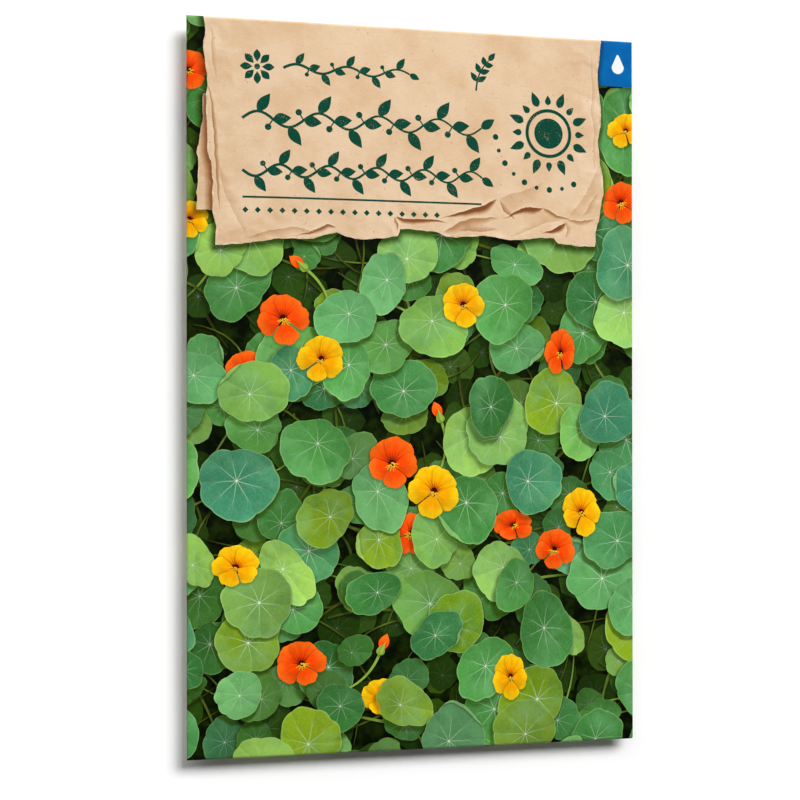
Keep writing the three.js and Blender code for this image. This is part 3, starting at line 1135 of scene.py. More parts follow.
@dataclass
class BackPrint:
    """The plain kraft back, with a generic sowing calendar and picture signs in dark green."""

    form: PacketForm
    shift: float = 5.5  # from the panel's middle to the print's
    months: int = 12
    box: float = 5.6  # a month's box in the calendar
    gap: float = 0.7
    sowing: tuple[int, ...] = (3, 4)
    flowering: tuple[int, ...] = (5, 6, 7, 8, 9)
    line: float = 0.3
    half_rule: float = 36.0
    half_vine: float = 34.0
    notes: tuple[int, float, float, float] = (5, -22.0, 7.2, 0.22)  # blank lines: how many, from where, step, width

    def patches(self) -> list[Patch]:
        """Draws the ground outside the front's print, and what is printed on the back panel."""
        middle = self.form.back_centre + self.shift
        found = self.ground() + vine(middle - self.half_vine, middle + self.half_vine, 44.0, 1.7, 4.0, 5.0)
        count, top, step, fine = self.notes
        rules = [(34.5, self.line), (9.5, self.line)] + [(top - step * row, fine) for row in range(count)]
        found += [rule(middle - self.half_rule, middle + self.half_rule, y, width) for y, width in rules]
        found += self.signs(middle, 22.0)
        return found + self.calendar(middle, 0.0, self.sowing) + self.calendar(middle, -8.4, self.flowering)

    def ground(self) -> list[Patch]:
        """The kraft ground on every side of the front's print."""
        x, y, far = self.form.bleed_x, self.form.bleed_y, 4 * self.form.half_width
        return [
            Patch(Ink.BACK, box_outline((-far, -far), (-x, far))),
            Patch(Ink.BACK, box_outline((x, -far), (far, far))),
            Patch(Ink.BACK, box_outline((-x, -far), (x, -y))),
            Patch(Ink.BACK, box_outline((-x, y), (x, far))),
        ]

    def calendar(self, middle: float, y: float, filled: tuple[int, ...]) -> list[Patch]:
        """A row of twelve boxes, some of them filled.

        Args:
            middle: The row's middle.
            y: The boxes' lower edge.
            filled: Which boxes are filled.

        Returns:
            The boxes.
        """
        found = []
        left = middle - (self.months * self.box + (self.months - 1) * self.gap) / 2
        for month in range(self.months):
            low = np.array([left + month * (self.box + self.gap), y])
            found.append(stamp(box_outline(low, low + self.box)))
            if month not in filled:
                found.append(Patch(Ink.BACK, box_outline(low + self.line, low + self.box - self.line)))
        return found

    def signs(self, middle: float, y: float) -> list[Patch]:
        """Three picture signs: a sun, a drop and a seed under the soil."""
        seed = middle + 24
        way = np.array([[seed, y + 1.2], [seed, y - 1.2]])
        found = rayed_sun((middle - 24, y), 3.0, 6.4, 12, Ink.BACK) + [stamp(drop_outline(3.3), (middle, y - 1.6))]
        found += [rule(seed - 7, seed + 7, y + 2.0, 0.5), stamp(disc(1.5, 18), (seed, y - 3.4))]
        return found + [stamp(strip_outline(way, 0.45))]


# --- The sheet ---


@dataclass
class PrintedSheet:
    """The whole folded and glued sheet, cut along everything that is printed on it."""

    form: PacketForm
    patches: list[Patch]
    tear: Points
    facets: list[Facet]
    finishes: dict[Ink, "PaperFinish"]
    grid: float = 2.6  # from one loose point to the next, and the longest edge
    sun_towards: Pair = (-0.42, -0.91)  # the way in which the printed shadows fall
    ink_strength: float = 0.95  # how bright the print is under the studio's light
    merge: float = 0.012  # points of the cut that are nearer than this become one
    on_line: float = 0.013  # points of the cut that are nearer than this to a fold line lie on it
    rim_merge: float = 0.0001  # the inner face's merge, which leaves every point of the rim
    rim_clear: float = 0.3  # how far from the rim the loose points begin
    pile_up: float = 0.3  # the share that a second shadow adds to a darker one
    darkest: float = 0.95  # the most that shadows take away
    nudge: float = 0.03  # how far into its triangle a corner's place is read, beside a crease
    far_off: float = 20.0  # stands for the distance to an edge where there is none
    smooth_under: float = math.radians(50)  # edges that bend less look smooth
    name: str = "printed_sheet"

    def build(self) -> bpy.types.Object:
        """Cuts, folds, prints and thickens the sheet.

        Returns:
            The finished piece.
        """
        self.patches = self.uncovered(self.patches)
        flat, triangles, owners = self.cut()
        rim = self.rim(triangles)
        inside, lining = self.lining(flat, rim)
        first = len(flat)  # the number of the first inner point
        edge = {point: first + place for place, point in enumerate(np.unique(rim).tolist())}
        faces = triangles.tolist() + (lining[:, ::-1] + first).tolist()
        faces += [(b, a, edge[a], edge[b]) for a, b in rim.tolist()]
        places = np.vstack([self.form.fold(flat), self.form.inner_face(inside)]) * MM
        mesh = bpy.data.meshes.new(self.name)
        mesh.from_pydata(places.tolist(), [], faces)
        piece = bpy.data.objects.new(self.name, mesh)
        bpy.context.scene.collection.objects.link(piece)
        for ink in Ink:
            mesh.materials.append(self.finishes[ink].material())
        inks = np.full(len(faces), int(Ink.BARE), np.int32)
        inks[: len(owners)] = self.of_each("ink", owners)
        mesh.polygons.foreach_set("material_index", inks)
        self.print_on(mesh, np.vstack([flat, inside]), triangles, owners)
        self.lay_out(mesh)
        make_active(piece)
        bpy.ops.object.shade_smooth_by_angle(angle=self.smooth_under)
        LOG.info("%s: %d patches, %d faces", self.name, len(self.patches), len(faces))
        return piece

    def of_each(self, field_name: str, owners: np.ndarray) -> np.ndarray:
        """One of the patches' values, for the patch of each owner."""
        return np.array([getattr(patch, field_name) for patch in self.patches])[owners]

    @staticmethod
    def rim(triangles: np.ndarray) -> np.ndarray:
        """The triangles' sides that no other triangle shares, as rows of start and end."""
        sides = triangles[:, [[0, 1], [1, 2], [2, 0]]].reshape(-1, 2)
        _, place, count = np.unique(np.sort(sides, axis=1), axis=0, return_index=True, return_counts=True)
        return sides[place[count == 1]]

    def lining(self, flat: Points, rim: np.ndarray) -> tuple[Points, np.ndarray]:
        """Triangulates the sheet's inner face, plainly but with the same rim.

        Args:
            flat: The printed face's points on the blank.
            rim: That face's rim, as rows of start and end.

        Returns:
            The flat points, those of the rim first and in their old order, and the triangles between them.
        """
        on_rim, edges = np.unique(rim, return_inverse=True)
        points, outline = flat[on_rim], self.form.outline()
        pairs, extra = edges.reshape(-1, 2).tolist(), [points, self.grid_points(outline)]
        for line in self.form.fold_lines():
            ahead = (line[1] - line[0]) / np.linalg.norm(line[1] - line[0])
            off = points - line[0]
            crossing = np.flatnonzero(np.abs(off @ [-ahead[1], ahead[0]]) < self.on_line)
            crossing = crossing[np.argsort(off[crossing] @ ahead)]
            for a, b in zip(crossing, crossing[1:]):
                if is_inside((points[[a]] + points[[b]]) / 2, outline)[0]:
                    between = in_stretches(points[None, [a, b]], self.grid)[1:, 0]
                    last = sum(map(len, extra))
                    row = [int(a), *range(last, last + len(between)), int(b)]
                    pairs += zip(row, row[1:])
                    extra.append(between)
        flat_in = [Vector(point) for point in np.vstack(extra)]
        found = delaunay_2d_cdt(flat_in, pairs, [], 0, self.rim_merge)
        made = np.array([tuple(point) for point in found[0]])
        old = np.full(len(made), len(flat_in))
        for place, given in enumerate(found[3]):
            old[place] = min(given, default=len(flat_in))
        order = np.argsort(old, kind="stable")
        if (old[order[: len(on_rim)]] != np.arange(len(on_rim))).any():
            raise ValueError("the inner face has lost a point of its rim")
        new = np.empty(len(order), int)
        new[order] = np.arange(len(order))
        return made[order], new[fenced_in(found, len(rim))]

    def uncovered(self, patches: list[Patch]) -> list[Patch]:
        """Drops the patches that nothing shows of, under others or outside the blank."""
        edge = self.form.outline()
        low, high = edge.min(0), edge.max(0)
        boxes = [(patch.outline.min(0), patch.outline.max(0)) for patch in patches]
        kept = patches[:1]
        for index, patch in enumerate(patches[1:], 1):
            mine_low, mine_high = boxes[index]
            if (mine_high < low).any() or (mine_low > high).any():
                continue
            bare = np.ones(len(patch.outline) + 1, bool)
            points = np.vstack([patch.outline, patch.outline.mean(0)])
            for above in range(index + 1, len(patches)):
                above_low, above_high = boxes[above]
                if (above_high < mine_low).any() or (above_low > mine_high).any() or not bare.any():
                    continue
                bare[bare] = ~is_inside(points[bare], patches[above].outline)
            if bare.any():
                kept.append(patch)
        return kept

    def cut(self) -> tuple[Points, np.ndarray, np.ndarray]:
        """Triangulates the blank along its folds, its patches and their shadows' edges.

        Returns:
            The flat points, the triangles between them, and the number of the patch that shows on each.
        """
        outline = self.form.outline()
        fence = in_stretches(np.stack([outline, np.roll(outline, -1, axis=0)], axis=1), self.grid)
        lines = [fence, self.seen_edges(outline), in_stretches(np.array(self.form.fold_lines()), self.grid)]
        ends, places = np.unique(np.vstack(lines).round(6).reshape(-1, 2), axis=0, return_inverse=True)
        flat_in = [Vector(point) for point in np.vstack([ends, self.grid_points(outline)])]
        edges = [(a, b) for a, b in places.reshape(-1, 2).tolist() if a != b]
        found = delaunay_2d_cdt(flat_in, edges, [], 0, self.merge)
        flat, triangles = np.array([tuple(point) for point in found[0]]), fenced_in(found, len(fence))
        used, triangles = np.unique(triangles, return_inverse=True)
        flat, triangles = flat[used], triangles.reshape(-1, 3)
        return flat, triangles, self.uppermost(flat[triangles].mean(1))

    def seen_edges(self, outline: Points) -> np.ndarray:
        """The stretches of the patches' outlines, shadows and facets that nothing lies over.

        Args:
            outline: The blank's outline, outside which nothing is seen.

        Returns:
            Rows of start and end points.
        """
        towards = np.array(self.sun_towards)
        loops: list[tuple[Points, int]] = []
        for index, patch in enumerate(self.patches):
            loops.append((patch.outline, index + 1))
            if patch.depth > 0:
                loops += [(patch.shadow(towards, share), index) for share in (0.0, 1.0)]
        loops += [(edge, len(self.patches)) for facet in self.facets for edge in facet.edges()]
        ends = np.vstack([np.stack([loop, np.roll(loop, -1, axis=0)], axis=1) for loop, _ in loops])
        above = np.repeat([number for _, number in loops], [len(loop) for loop, _ in loops])
        lines, above = in_stretches(ends, self.grid), np.repeat(above, stretch_counts(ends, self.grid))
        seen = np.zeros(len(lines), bool)
        for share in (0.0, 0.5, 1.0):
            points = lines[:, 0] + share * (lines[:, 1] - lines[:, 0])
            seen |= (self.uppermost(points) < above) & is_inside(points, outline)
        return lines[seen]

    def uppermost(self, points: Points) -> np.ndarray:
        """The number of the uppermost patch at each point."""
        found = np.zeros(len(points), int)
        for index, patch in enumerate(self.patches):
            found[numbers_inside(points, patch.outline)] = index
        return found

    def grid_points(self, outline: Points) -> Points:
        """A honeycomb of loose points inside the blank, so that the sheet can swell."""
        low, high = outline.min(0), outline.max(0)
        row_step = self.grid * math.sqrt(0.75)
        rows = [
            (x + 0.5 * self.grid * (row % 2), y)
            for row, y in enumerate(np.arange(low[1], high[1], row_step))
            for x in np.arange(low[0], high[0], self.grid)
        ]
        found = np.array(rows)
        return found[is_inside(found, outline) & (gap_to(found, outline) > self.rim_clear)]

    def light_on(self, points: Points, owners: np.ndarray) -> np.ndarray:
        """How bright each point is, under its own light and the shadows of the patches above it.

        Args:
            points: Points on the blank.
            owners: The patch that each point belongs to.

        Returns:
            One brightness for each point.
        """
        light = self.of_each("light", owners)
        shade = np.zeros(len(points))
        towards = np.array(self.sun_towards)
        for index, patch in enumerate(self.patches):
            if patch.fade:
                start, end, last = patch.fade
                mine = np.flatnonzero(owners == index)
                share = (points[mine] - start) @ (end - start) / ((end - start) @ (end - start))
                light[mine] += (last - patch.light) * np.clip(share, 0, 1)
            if patch.depth <= 0:
                continue
            caster = patch.shadow(towards, 0.0)
            low, high = caster.min(0) - patch.softness, caster.max(0) + patch.softness
            near = np.flatnonzero((owners < index) & ((points > low) & (points < high)).all(1))
            if len(near):
                gap = np.where(is_inside(points[near], caster), 0.0, gap_to(points[near], caster))
                fall = patch.depth * np.clip(1 - gap / patch.softness, 0, 1)
                shade[near] = np.maximum(shade[near], fall) + self.pile_up * np.minimum(shade[near], fall)
        return self.ink_strength * light * (1 - np.clip(shade, 0, self.darkest))

    def print_on(self, mesh: bpy.types.Mesh, flat: Points, triangles: np.ndarray, owners: np.ndarray) -> None:
        """Stores on each corner what the inks need to know, and its place on the blank as the UV map.

        Args:
            mesh: The folded mesh, with the printed triangles first.
            flat: Its points on the blank.
            triangles: Its printed triangles.
            owners: The patch that shows on each of them.
        """
        corner_owner = np.repeat(owners, 3)
        corner_point = triangles.ravel()
        pairs, place = np.unique(corner_owner * len(flat) + corner_point, return_inverse=True)
        owner, points = pairs // len(flat), flat[pairs % len(flat)]
        own = np.einsum("pij,pj->pi", self.of_each("to_own", owner), points - self.of_each("centre", owner))
        light, share = self.light_on(points, owner), self.edge_share(points, owner)
        values = {
            "spot": np.column_stack([own, self.of_each("tone", owner)]),
            "cast": np.column_stack([light, share, self.of_each("turn", owner)]),
        }
        on_label = np.isin(self.of_each("ink", corner_owner), [Ink.KRAFT, Ink.GREEN, Ink.TORN_FIBRE])
        creased = np.ones(len(place))
        inwards = np.repeat(flat[triangles].mean(1), 3, axis=0)[on_label] - flat[corner_point][on_label]
        for facet in self.facets:
            creased[on_label] *= facet.brightness(flat[corner_point][on_label] + self.nudge * inwards)
        for name, rows in values.items():
            corners = np.zeros((len(mesh.loops), 3), np.float32)
            corners[: len(place)] = rows[place]
            if name == "cast":
                corners[: len(place), 0] *= creased
            mesh.attributes.new(name, "FLOAT_VECTOR", "CORNER").data.foreach_set("vector", corners.ravel())
        corner_point = np.zeros(len(mesh.loops), np.int32)
        mesh.loops.foreach_get("vertex_index", corner_point)
        places = mesh.uv_layers.new(name=UV_MAP)
        places.data.foreach_set("uv", flat[corner_point].astype(np.float32).ravel())

    def edge_share(self, points: Points, owners: np.ndarray) -> np.ndarray:
        """How far each point is from an edge: from the tear on the label, and from stalk to rim on a leaf.

        Args:
            points: Points on the blank.
            owners: The patch that each point belongs to.

        Returns:
            Millimetres on the label, a share from 0 to 1 on a leaf, and a far distance elsewhere.
        """
        found = np.full(len(points), self.far_off)
        on_label = np.isin(self.of_each("ink", owners), [Ink.KRAFT, Ink.GREEN])
        found[on_label] = gap_to(points[on_label], self.tear)
        for index, patch in enumerate(self.patches):
            if patch.ink is Ink.LEAF:
                mine = np.flatnonzero(owners == index)
                from_hub = np.linalg.norm(points[mine] - patch.centre, axis=1)
                found[mine] = from_hub / np.maximum(from_hub + gap_to(points[mine], patch.outline), 1e-6)
        return found

    def lay_out(self, mesh: bpy.types.Mesh) -> None:
        """Moves each panel's places from the blank to its own part of the UV map."""
        form = self.form
        places = np.zeros(2 * len(mesh.loops), np.float32)
        mesh.uv_layers[UV_MAP].data.foreach_get("uv", places)
        places = places.reshape(-1, 2)
        slots = np.zeros(len(mesh.polygons), np.int32)
        sizes = np.zeros(len(mesh.polygons), np.int32)
        mesh.polygons.foreach_get("material_index", slots)
        mesh.polygons.foreach_get("loop_total", sizes)
        face = np.repeat(np.arange(len(slots)), sizes)
        middle = np.column_stack([np.bincount(face, places[:, axis]) for axis in (0, 1)]) / sizes[:, None]
        end_x, end_y = form.fold_x + form.allowance, form.fold_y + form.allowance
        edge = form.outline()
        low, high = edge.min(0), edge.max(0)
        bare = slots == int(Ink.BARE)
        areas = [
            (bare, low, high, (0.68, 0.01), (0.99, 0.11)),
            (middle[:, 1] > end_y, (-end_x, end_y), (end_x, high[1]), (0.68, 0.13), (0.99, 0.17)),
            (middle[:, 1] < -end_y, (-end_x, low[1]), (end_x, -end_y), (0.68, 0.185), (0.99, 0.22)),
            (middle[:, 0] > end_x, (end_x, -end_y), (high[0], end_y), (0.68, 0.235), (0.99, 0.275)),
            (middle[:, 0] < -end_x, (low[0], -end_y), (-end_x, end_y), (0.68, 0.29), (0.99, 0.99)),
            (np.ones_like(bare), (-end_x, -end_y), (end_x, end_y), (0.008, 0.008), (0.665, 0.992)),
        ]
        left = np.ones_like(bare)
        for chosen, *spans in areas:
            corners = (chosen & left)[face]
            left &= ~chosen
            area_low, area_high, uv_low, uv_high = map(np.array, spans)
            share = (places[corners] - area_low) / (area_high - area_low)
            places[corners] = uv_low + np.clip(share, 0, 1) * (uv_high - uv_low)
        mesh.uv_layers[UV_MAP].data.foreach_set("uv", places.ravel())


# --- Finishes ---


@dataclass(frozen=True)
class Signal:
    """A node's output. Each step of arithmetic with it adds a Math node to its recipe."""

    recipe: Recipe
    socket: bpy.types.NodeSocket

    def math(self, operation: str, *others: Value) -> Signal:
        """One step of arithmetic that starts from this value."""
        return self.recipe.math(operation, self, *others)

    def __add__(self, other: Value) -> Signal:
        """The sum of both."""
        return self.math("ADD", other)

    def __sub__(self, other: Value) -> Signal:
        """This value less the other."""
        return self.math("SUBTRACT", other)

    def __rsub__(self, other: Value) -> Signal:
        """The other value less this one."""
        return self.recipe.math("SUBTRACT", other, self)

    def __mul__(self, other: Value) -> Signal:
        """The product of both."""
        return self.math("MULTIPLY", other)

    def __truediv__(self, other: Value) -> Signal:
        """This value divided by the other."""
        return self.math("DIVIDE", other)

    def __pow__(self, power: Value) -> Signal:
        """This value raised to a power."""
        return self.math("POWER", power)

    def __abs__(self) -> Signal:
        """The value without its sign."""
        return self.math("ABSOLUTE")


class Recipe:
    """A material's node tree, put together step by step."""

    def __init__(self, name: str) -> None:
        """Starts a material that has its main shader alone."""
        self.material = bpy.data.materials.new(name)
        self.material.use_nodes = True
        self.tree = self.material.node_tree
        self.shader = next(node for node in self.tree.nodes if node.type == "BSDF_PRINCIPLED")

    def node(self, kind: str, feeds: dict[Any, Any], output: Any = 0, **settings: Any) -> Signal:
        """Adds a node.

        Args:
            kind: The node's type.
            feeds: What goes into its inputs, by name or number: a value or another node's output.
            output: The output to return, by name or number.
            settings: The node's own settings.

        Returns:
            The chosen output.
        """
        made = self.tree.nodes.new(kind)
        for name, setting in settings.items():
            setattr(made, name, setting)
        for key, value in feeds.items():
            self.feed(made.inputs[key], value)
        return Signal(self, made.outputs[output])

    def feed(self, socket: bpy.types.NodeSocket, value: Any) -> None:
        """Links an output to a socket, or sets the socket's own value."""
        if isinstance(value, Signal):
            self.tree.links.new(value.socket, socket)
        else:
            socket.default_value = value

    def finish(self, colour: Any, roughness: float, gloss: float = 0.5) -> bpy.types.Material:
        """Feeds the shader, and gives back the material."""
        for name, value in (("Base Color", colour), ("Roughness", roughness), ("Specular IOR Level", gloss)):
            self.feed(self.shader.inputs[name], value)
        return self.material

    def place(self) -> Signal:
        """The place in the piece's own space."""
        return self.node("ShaderNodeTexCoord", {}, "Object")

    def split(self, name: str) -> tuple[Signal, Signal, Signal]:
        """The three parts of one of the sheet's attributes."""
        whole = self.node("ShaderNodeAttribute", {}, "Vector", attribute_name=name)
        parts = self.node("ShaderNodeSeparateXYZ", {0: whole}).socket.node
        return tuple(Signal(self, part) for part in parts.outputs[:3])

    def join(self, x: Value, y: Value, z: Value) -> Signal:
        """A vector from its three parts."""
        return self.node("ShaderNodeCombineXYZ", {0: x, 1: y, 2: z})

    def math(self, operation: str, *values: Value) -> Signal:
        """One step of arithmetic."""
        return self.node("ShaderNodeMath", dict(enumerate(values)), operation=operation)

    def reach(self, u: Signal, v: Signal) -> Signal:
        """How far a place is from a pattern's middle."""
        return (u**2 + v**2).math("SQRT")

    def smooth(self, value: Value, low: Value, high: Value, start: float = 0.0, end: float = 1.0) -> Signal:
        """Passes smoothly from start to end as the value goes from low to high."""
        feeds = {"Value": value, "From Min": low, "From Max": high, "To Min": start, "To Max": end}
        return self.node("ShaderNodeMapRange", feeds, interpolation_type="SMOOTHSTEP")

    def mix(self, share: Value, a: Any, b: Any) -> Signal:
        """Mixes two colours."""
        return self.node("ShaderNodeMix", {0: share, 6: a, 7: b}, 2, data_type="RGBA")

    def scale(self, colour: Any, factor: Value) -> Signal:
        """Multiplies a colour by a brightness."""
        return self.node("ShaderNodeVectorMath", {0: colour, "Scale": factor}, operation="SCALE")

    def noise(self, place: Any, scale: float, detail: float = 3.0, roughness: float = 0.55) -> Signal:
        """Soft noise from 0 to 1."""
        feeds = {"Vector": place, "Scale": scale, "Detail": detail, "Roughness": roughness}
        return self.node("ShaderNodeTexNoise", feeds)

    def cells(self, place: Any, scale: float, feature: str = "F1") -> Signal:
        """The distance from the middles, or from the walls, of a cell pattern."""
        return self.node("ShaderNodeTexVoronoi", {"Vector": place, "Scale": scale}, "Distance", feature=feature)

    def ramp(self, share: Value, stops: Sequence[tuple[float, Colour]]) -> Signal:
        """A colour from a row of stops."""
        made = self.node("ShaderNodeValToRGB", {0: share})
        elements = made.socket.node.color_ramp.elements
        elements[0].position, elements[0].color = stops[0]
        elements[1].position, elements[1].color = stops[-1]
        for position, colour in stops[1:-1]:
            elements.new(position).color = colour
        return made

    def bump(self, height: Value, distance: float, strength: float = 1.0) -> None:
        """Gives the surface a fine relief."""
        feeds = {"Height": height, "Distance": distance, "Strength": strength}
        self.feed(self.shader.inputs["Normal"], self.node("ShaderNodeBump", feeds, "Normal"))


@dataclass(frozen=True)
class PaperFinish(ABC):
    """An ink on the sheet's matt coated paper."""

    name: str
    roughness: float = 0.56
    gloss: float = 0.03

    def material(self) -> bpy.types.Material:
        """Builds the material."""
        recipe = Recipe(self.name)
        recipe.bump(recipe.noise(recipe.place(), 2600.0, 2.0), 0.00002, 0.35)
        return recipe.finish(self.colour(recipe), self.roughness, self.gloss)

    @abstractmethod
    def colour(self, recipe: Recipe) -> Any:
        """The ink's colour, as a value or as a node's output."""


@dataclass(frozen=True)
class PlainFinish(PaperFinish):
    """One flat colour."""

    flat: Colour = (0.8, 0.8, 0.8, 1.0)

    def colour(self, recipe: Recipe) -> Any:
        """See PaperFinish."""
        return self.flat


@dataclass(frozen=True)
class LeafFinish(PaperFinish):
    """Round leaves with fine pale ribs that run straight from the stalk and fork towards the rim."""

    hues: tuple[tuple[float, Colour], ...] = (
        (0.00, srgb(78, 150, 94)),
        (0.12, srgb(66, 134, 60)),
        (0.25, srgb(84, 158, 72)),
        (0.36, srgb(102, 170, 104)),
        (0.48, srgb(156, 200, 86)),
        (0.59, srgb(80, 152, 68)),
        (0.70, srgb(50, 114, 50)),
        (0.80, srgb(64, 138, 104)),
        (0.89, srgb(136, 166, 28)),
        (1.00, srgb(104, 140, 10)),
    )
    mottle_colour: Colour = srgb(52, 112, 54)
    bloom_colour: Colour = srgb(128, 190, 130)  # the pale waxy bloom on a blade that faces the light
    rim_colour: Colour = srgb(176, 212, 132)
    shaded: Colour = srgb(78, 128, 0)
    rib_colour: Colour = srgb(200, 226, 190)
    hub_colour: Colour = srgb(240, 246, 220)

    def colour(self, recipe: Recipe) -> Signal:
        """See PaperFinish."""
        u, v, tone = recipe.split("spot")
        light, rim, turn = recipe.split("cast")
        flat, reach = recipe.join(u, v, tone * 37.0), recipe.reach(u, v)
        wander = recipe.noise(flat, 1.6, 1.0) * 0.34 - 0.17
        rib = v.math("ARCTAN2", u) * (LEAF_RIBS / TURN) + wander
        off = rib - rib.math("ROUND")
        mottle, waxy = recipe.noise(flat, 1.3, 4.0), recipe.noise(recipe.join(v, u, tone * 53.0), 0.9, 3.0)
        colour = recipe.ramp(tone, self.hues)
        for share, layer in (
            (recipe.smooth(mottle, 0.42, 0.75, 0.0, 0.42), self.mottle_colour),
            (recipe.smooth(waxy, 0.42, 0.72, 0.0, 0.32), self.bloom_colour),
            (recipe.smooth(rim, 0.955, 0.99, 0.0, 0.28), self.rim_colour),
            (recipe.smooth(light, 0.15, 0.85, 0.85, 0.0), self.shaded),
            (self.veins(recipe, flat, abs(off), reach, rim), self.rib_colour),
            (recipe.smooth(reach, 0.014, 0.042, 0.85, 0.0), self.hub_colour),
        ):
            colour = recipe.mix(share, colour, layer)
        number = rib.math("FLOOR").math("FLOORED_MODULO", float(LEAF_RIBS))
        seed = recipe.math("MULTIPLY_ADD", tone, 97.0, number)
        panel = recipe.node("ShaderNodeTexWhiteNoise", {"W": seed}, noise_dimensions="1D")
        shade = self.relief(recipe, u, v, turn, reach, off) + panel * recipe.smooth(rim, 0.05, 0.4) * 0.13
        shade += recipe.noise(flat, 9.0, 4.0, 0.65) * 0.3 - 0.2
        return recipe.scale(colour, light * shade)

    def veins(self, recipe: Recipe, flat: Signal, beside: Signal, reach: Signal, rim: Signal) -> Signal:
        """How strongly each place shows a rib, a fork of one, or the fine net between them.

        Args:
            recipe: The node tree.
            flat: The place on the blade.
            beside: How far the place is off the nearest rib, as a share of the ribs' spacing.
            reach: How far it is from the stalk.
            rim: How far it is on its way from the stalk to the rim.

        Returns:
            A share from 0 to 1.
        """
        arc, width = reach * (TURN / LEAF_RIBS), rim * -0.01 + 0.0165
        ribs = recipe.smooth(beside * arc, width * 0.2, width, 1.0, 0.0)
        ribs *= recipe.smooth(rim, 0.05, 0.92, 0.7, 0.08)
        fork_gap = abs(beside - recipe.smooth(rim, 0.4, 1.25, 0.0, 0.55)) * arc
        forks = recipe.smooth(fork_gap, 0.001, 0.011, 1.0, 0.0) * recipe.smooth(rim, 0.38, 0.5)
        forks *= recipe.smooth(rim, 0.6, 1.0, 0.16, 0.0)
        net = recipe.smooth(recipe.cells(flat, 7.0, "DISTANCE_TO_EDGE"), 0.0, 0.06, 0.07, 0.0)
        return ribs.math("MAXIMUM", forks.math("MAXIMUM", net))

    def relief(self, recipe: Recipe, u: Signal, v: Signal, turn: Signal, reach: Signal, off: Signal) -> Signal:
        """The light and shade of a blade that is tilted, cupped and swollen between its ribs.

        Args:
            recipe: The node tree.
            u: The place on the blade, along it.
            v: The same, across it.
            turn: How the blade is turned on the sheet.
            reach: How far the place is from the stalk.
            off: How far it is off the nearest rib, as a share of the ribs' spacing, with its side.

        Returns:
            A brightness round 1.
        """
        bearing = SUN_BEARING - turn
        east, north = bearing.math("COSINE"), bearing.math("SINE")
        across = (u * north - v * east) / reach.math("MAXIMUM", 0.05)
        pucker = off.math("SIGN") * (1.0 - abs(off) * 2.0) * across * recipe.smooth(reach, 0.05, 0.7)
        return 1.0 - pucker * 0.1 - (u * east + v * north) * 0.1 + u * 0.16


@dataclass(frozen=True)
class PetalFinish(PaperFinish):
    """Silky petals with soft folds. The two upper ones have dark guide marks that run out of the throat."""

    tip: Colour = srgb(255, 106, 22)
    blade: Colour = srgb(252, 74, 4)
    throat: Colour = srgb(150, 22, 4)
    marks: float = 0.75

    def colour(self, recipe: Recipe) -> Signal:
        """See PaperFinish."""
        u, v, tone = recipe.split("spot")
        light, _, turn = recipe.split("cast")
        angle, reach = v.math("ARCTAN2", u), recipe.reach(u, v)
        upper = tone.math("LESS_THAN", 0.5)
        rays = (angle * 22.0 + tone * 9.0).math("COSINE")
        streak = recipe.smooth(rays, -0.9, 0.7) * recipe.smooth(reach, 0.16, upper * 0.24 + 0.3, 1.0, 0.0)
        blotch = recipe.smooth(reach, 0.1, upper * 0.12 + 0.24, 0.9, 0.0)
        deep = blotch.math("MAXIMUM", streak * (upper * self.marks + 0.2))
        colour = recipe.mix(recipe.smooth(reach, 0.4, 1.0), self.blade, self.tip)
        folds = recipe.noise(recipe.join(angle * 1.6, reach, tone * 31.0), 2.2, 1.0)
        shade = (angle * 40.0).math("COSINE") * reach * 0.04 + 0.9
        shade += recipe.smooth(folds, 0.3, 0.7, -0.1, 0.1)
        shade += recipe.noise(recipe.join(u, v, tone * 23.0), 4.0, 2.0) * 0.2
        shade += (SUN_BEARING - turn).math("SINE") * v * 0.45
        return recipe.scale(recipe.mix(deep, colour, self.throat), light * shade)


@dataclass(frozen=True)
class ShadedFinish(PaperFinish):
    """A mottled colour under the foliage's light, for stems, eyes and what lies between the leaves."""

    dark: Colour = srgb(0, 0, 0)
    pale: Colour = srgb(255, 255, 255)
    scale: float = 0.9
    detail: float = 4.0
    low: float = 0.35  # the noise at which the pale colour sets in
    high: float = 0.75  # the noise from which it is all pale
    by_tone: float = 0.0  # how far a patch's own tone makes it darker or paler

    def colour(self, recipe: Recipe) -> Signal:
        """See PaperFinish."""
        u, v, tone = recipe.split("spot")
        light, _, _ = recipe.split("cast")
        cloud = recipe.noise(recipe.join(u, v, tone * 11.0), self.scale, self.detail, 0.6)
        if self.by_tone:
            cloud += (tone - 0.5) * self.by_tone
        return recipe.scale(recipe.mix(recipe.smooth(cloud, self.low, self.high), self.dark, self.pale), light)


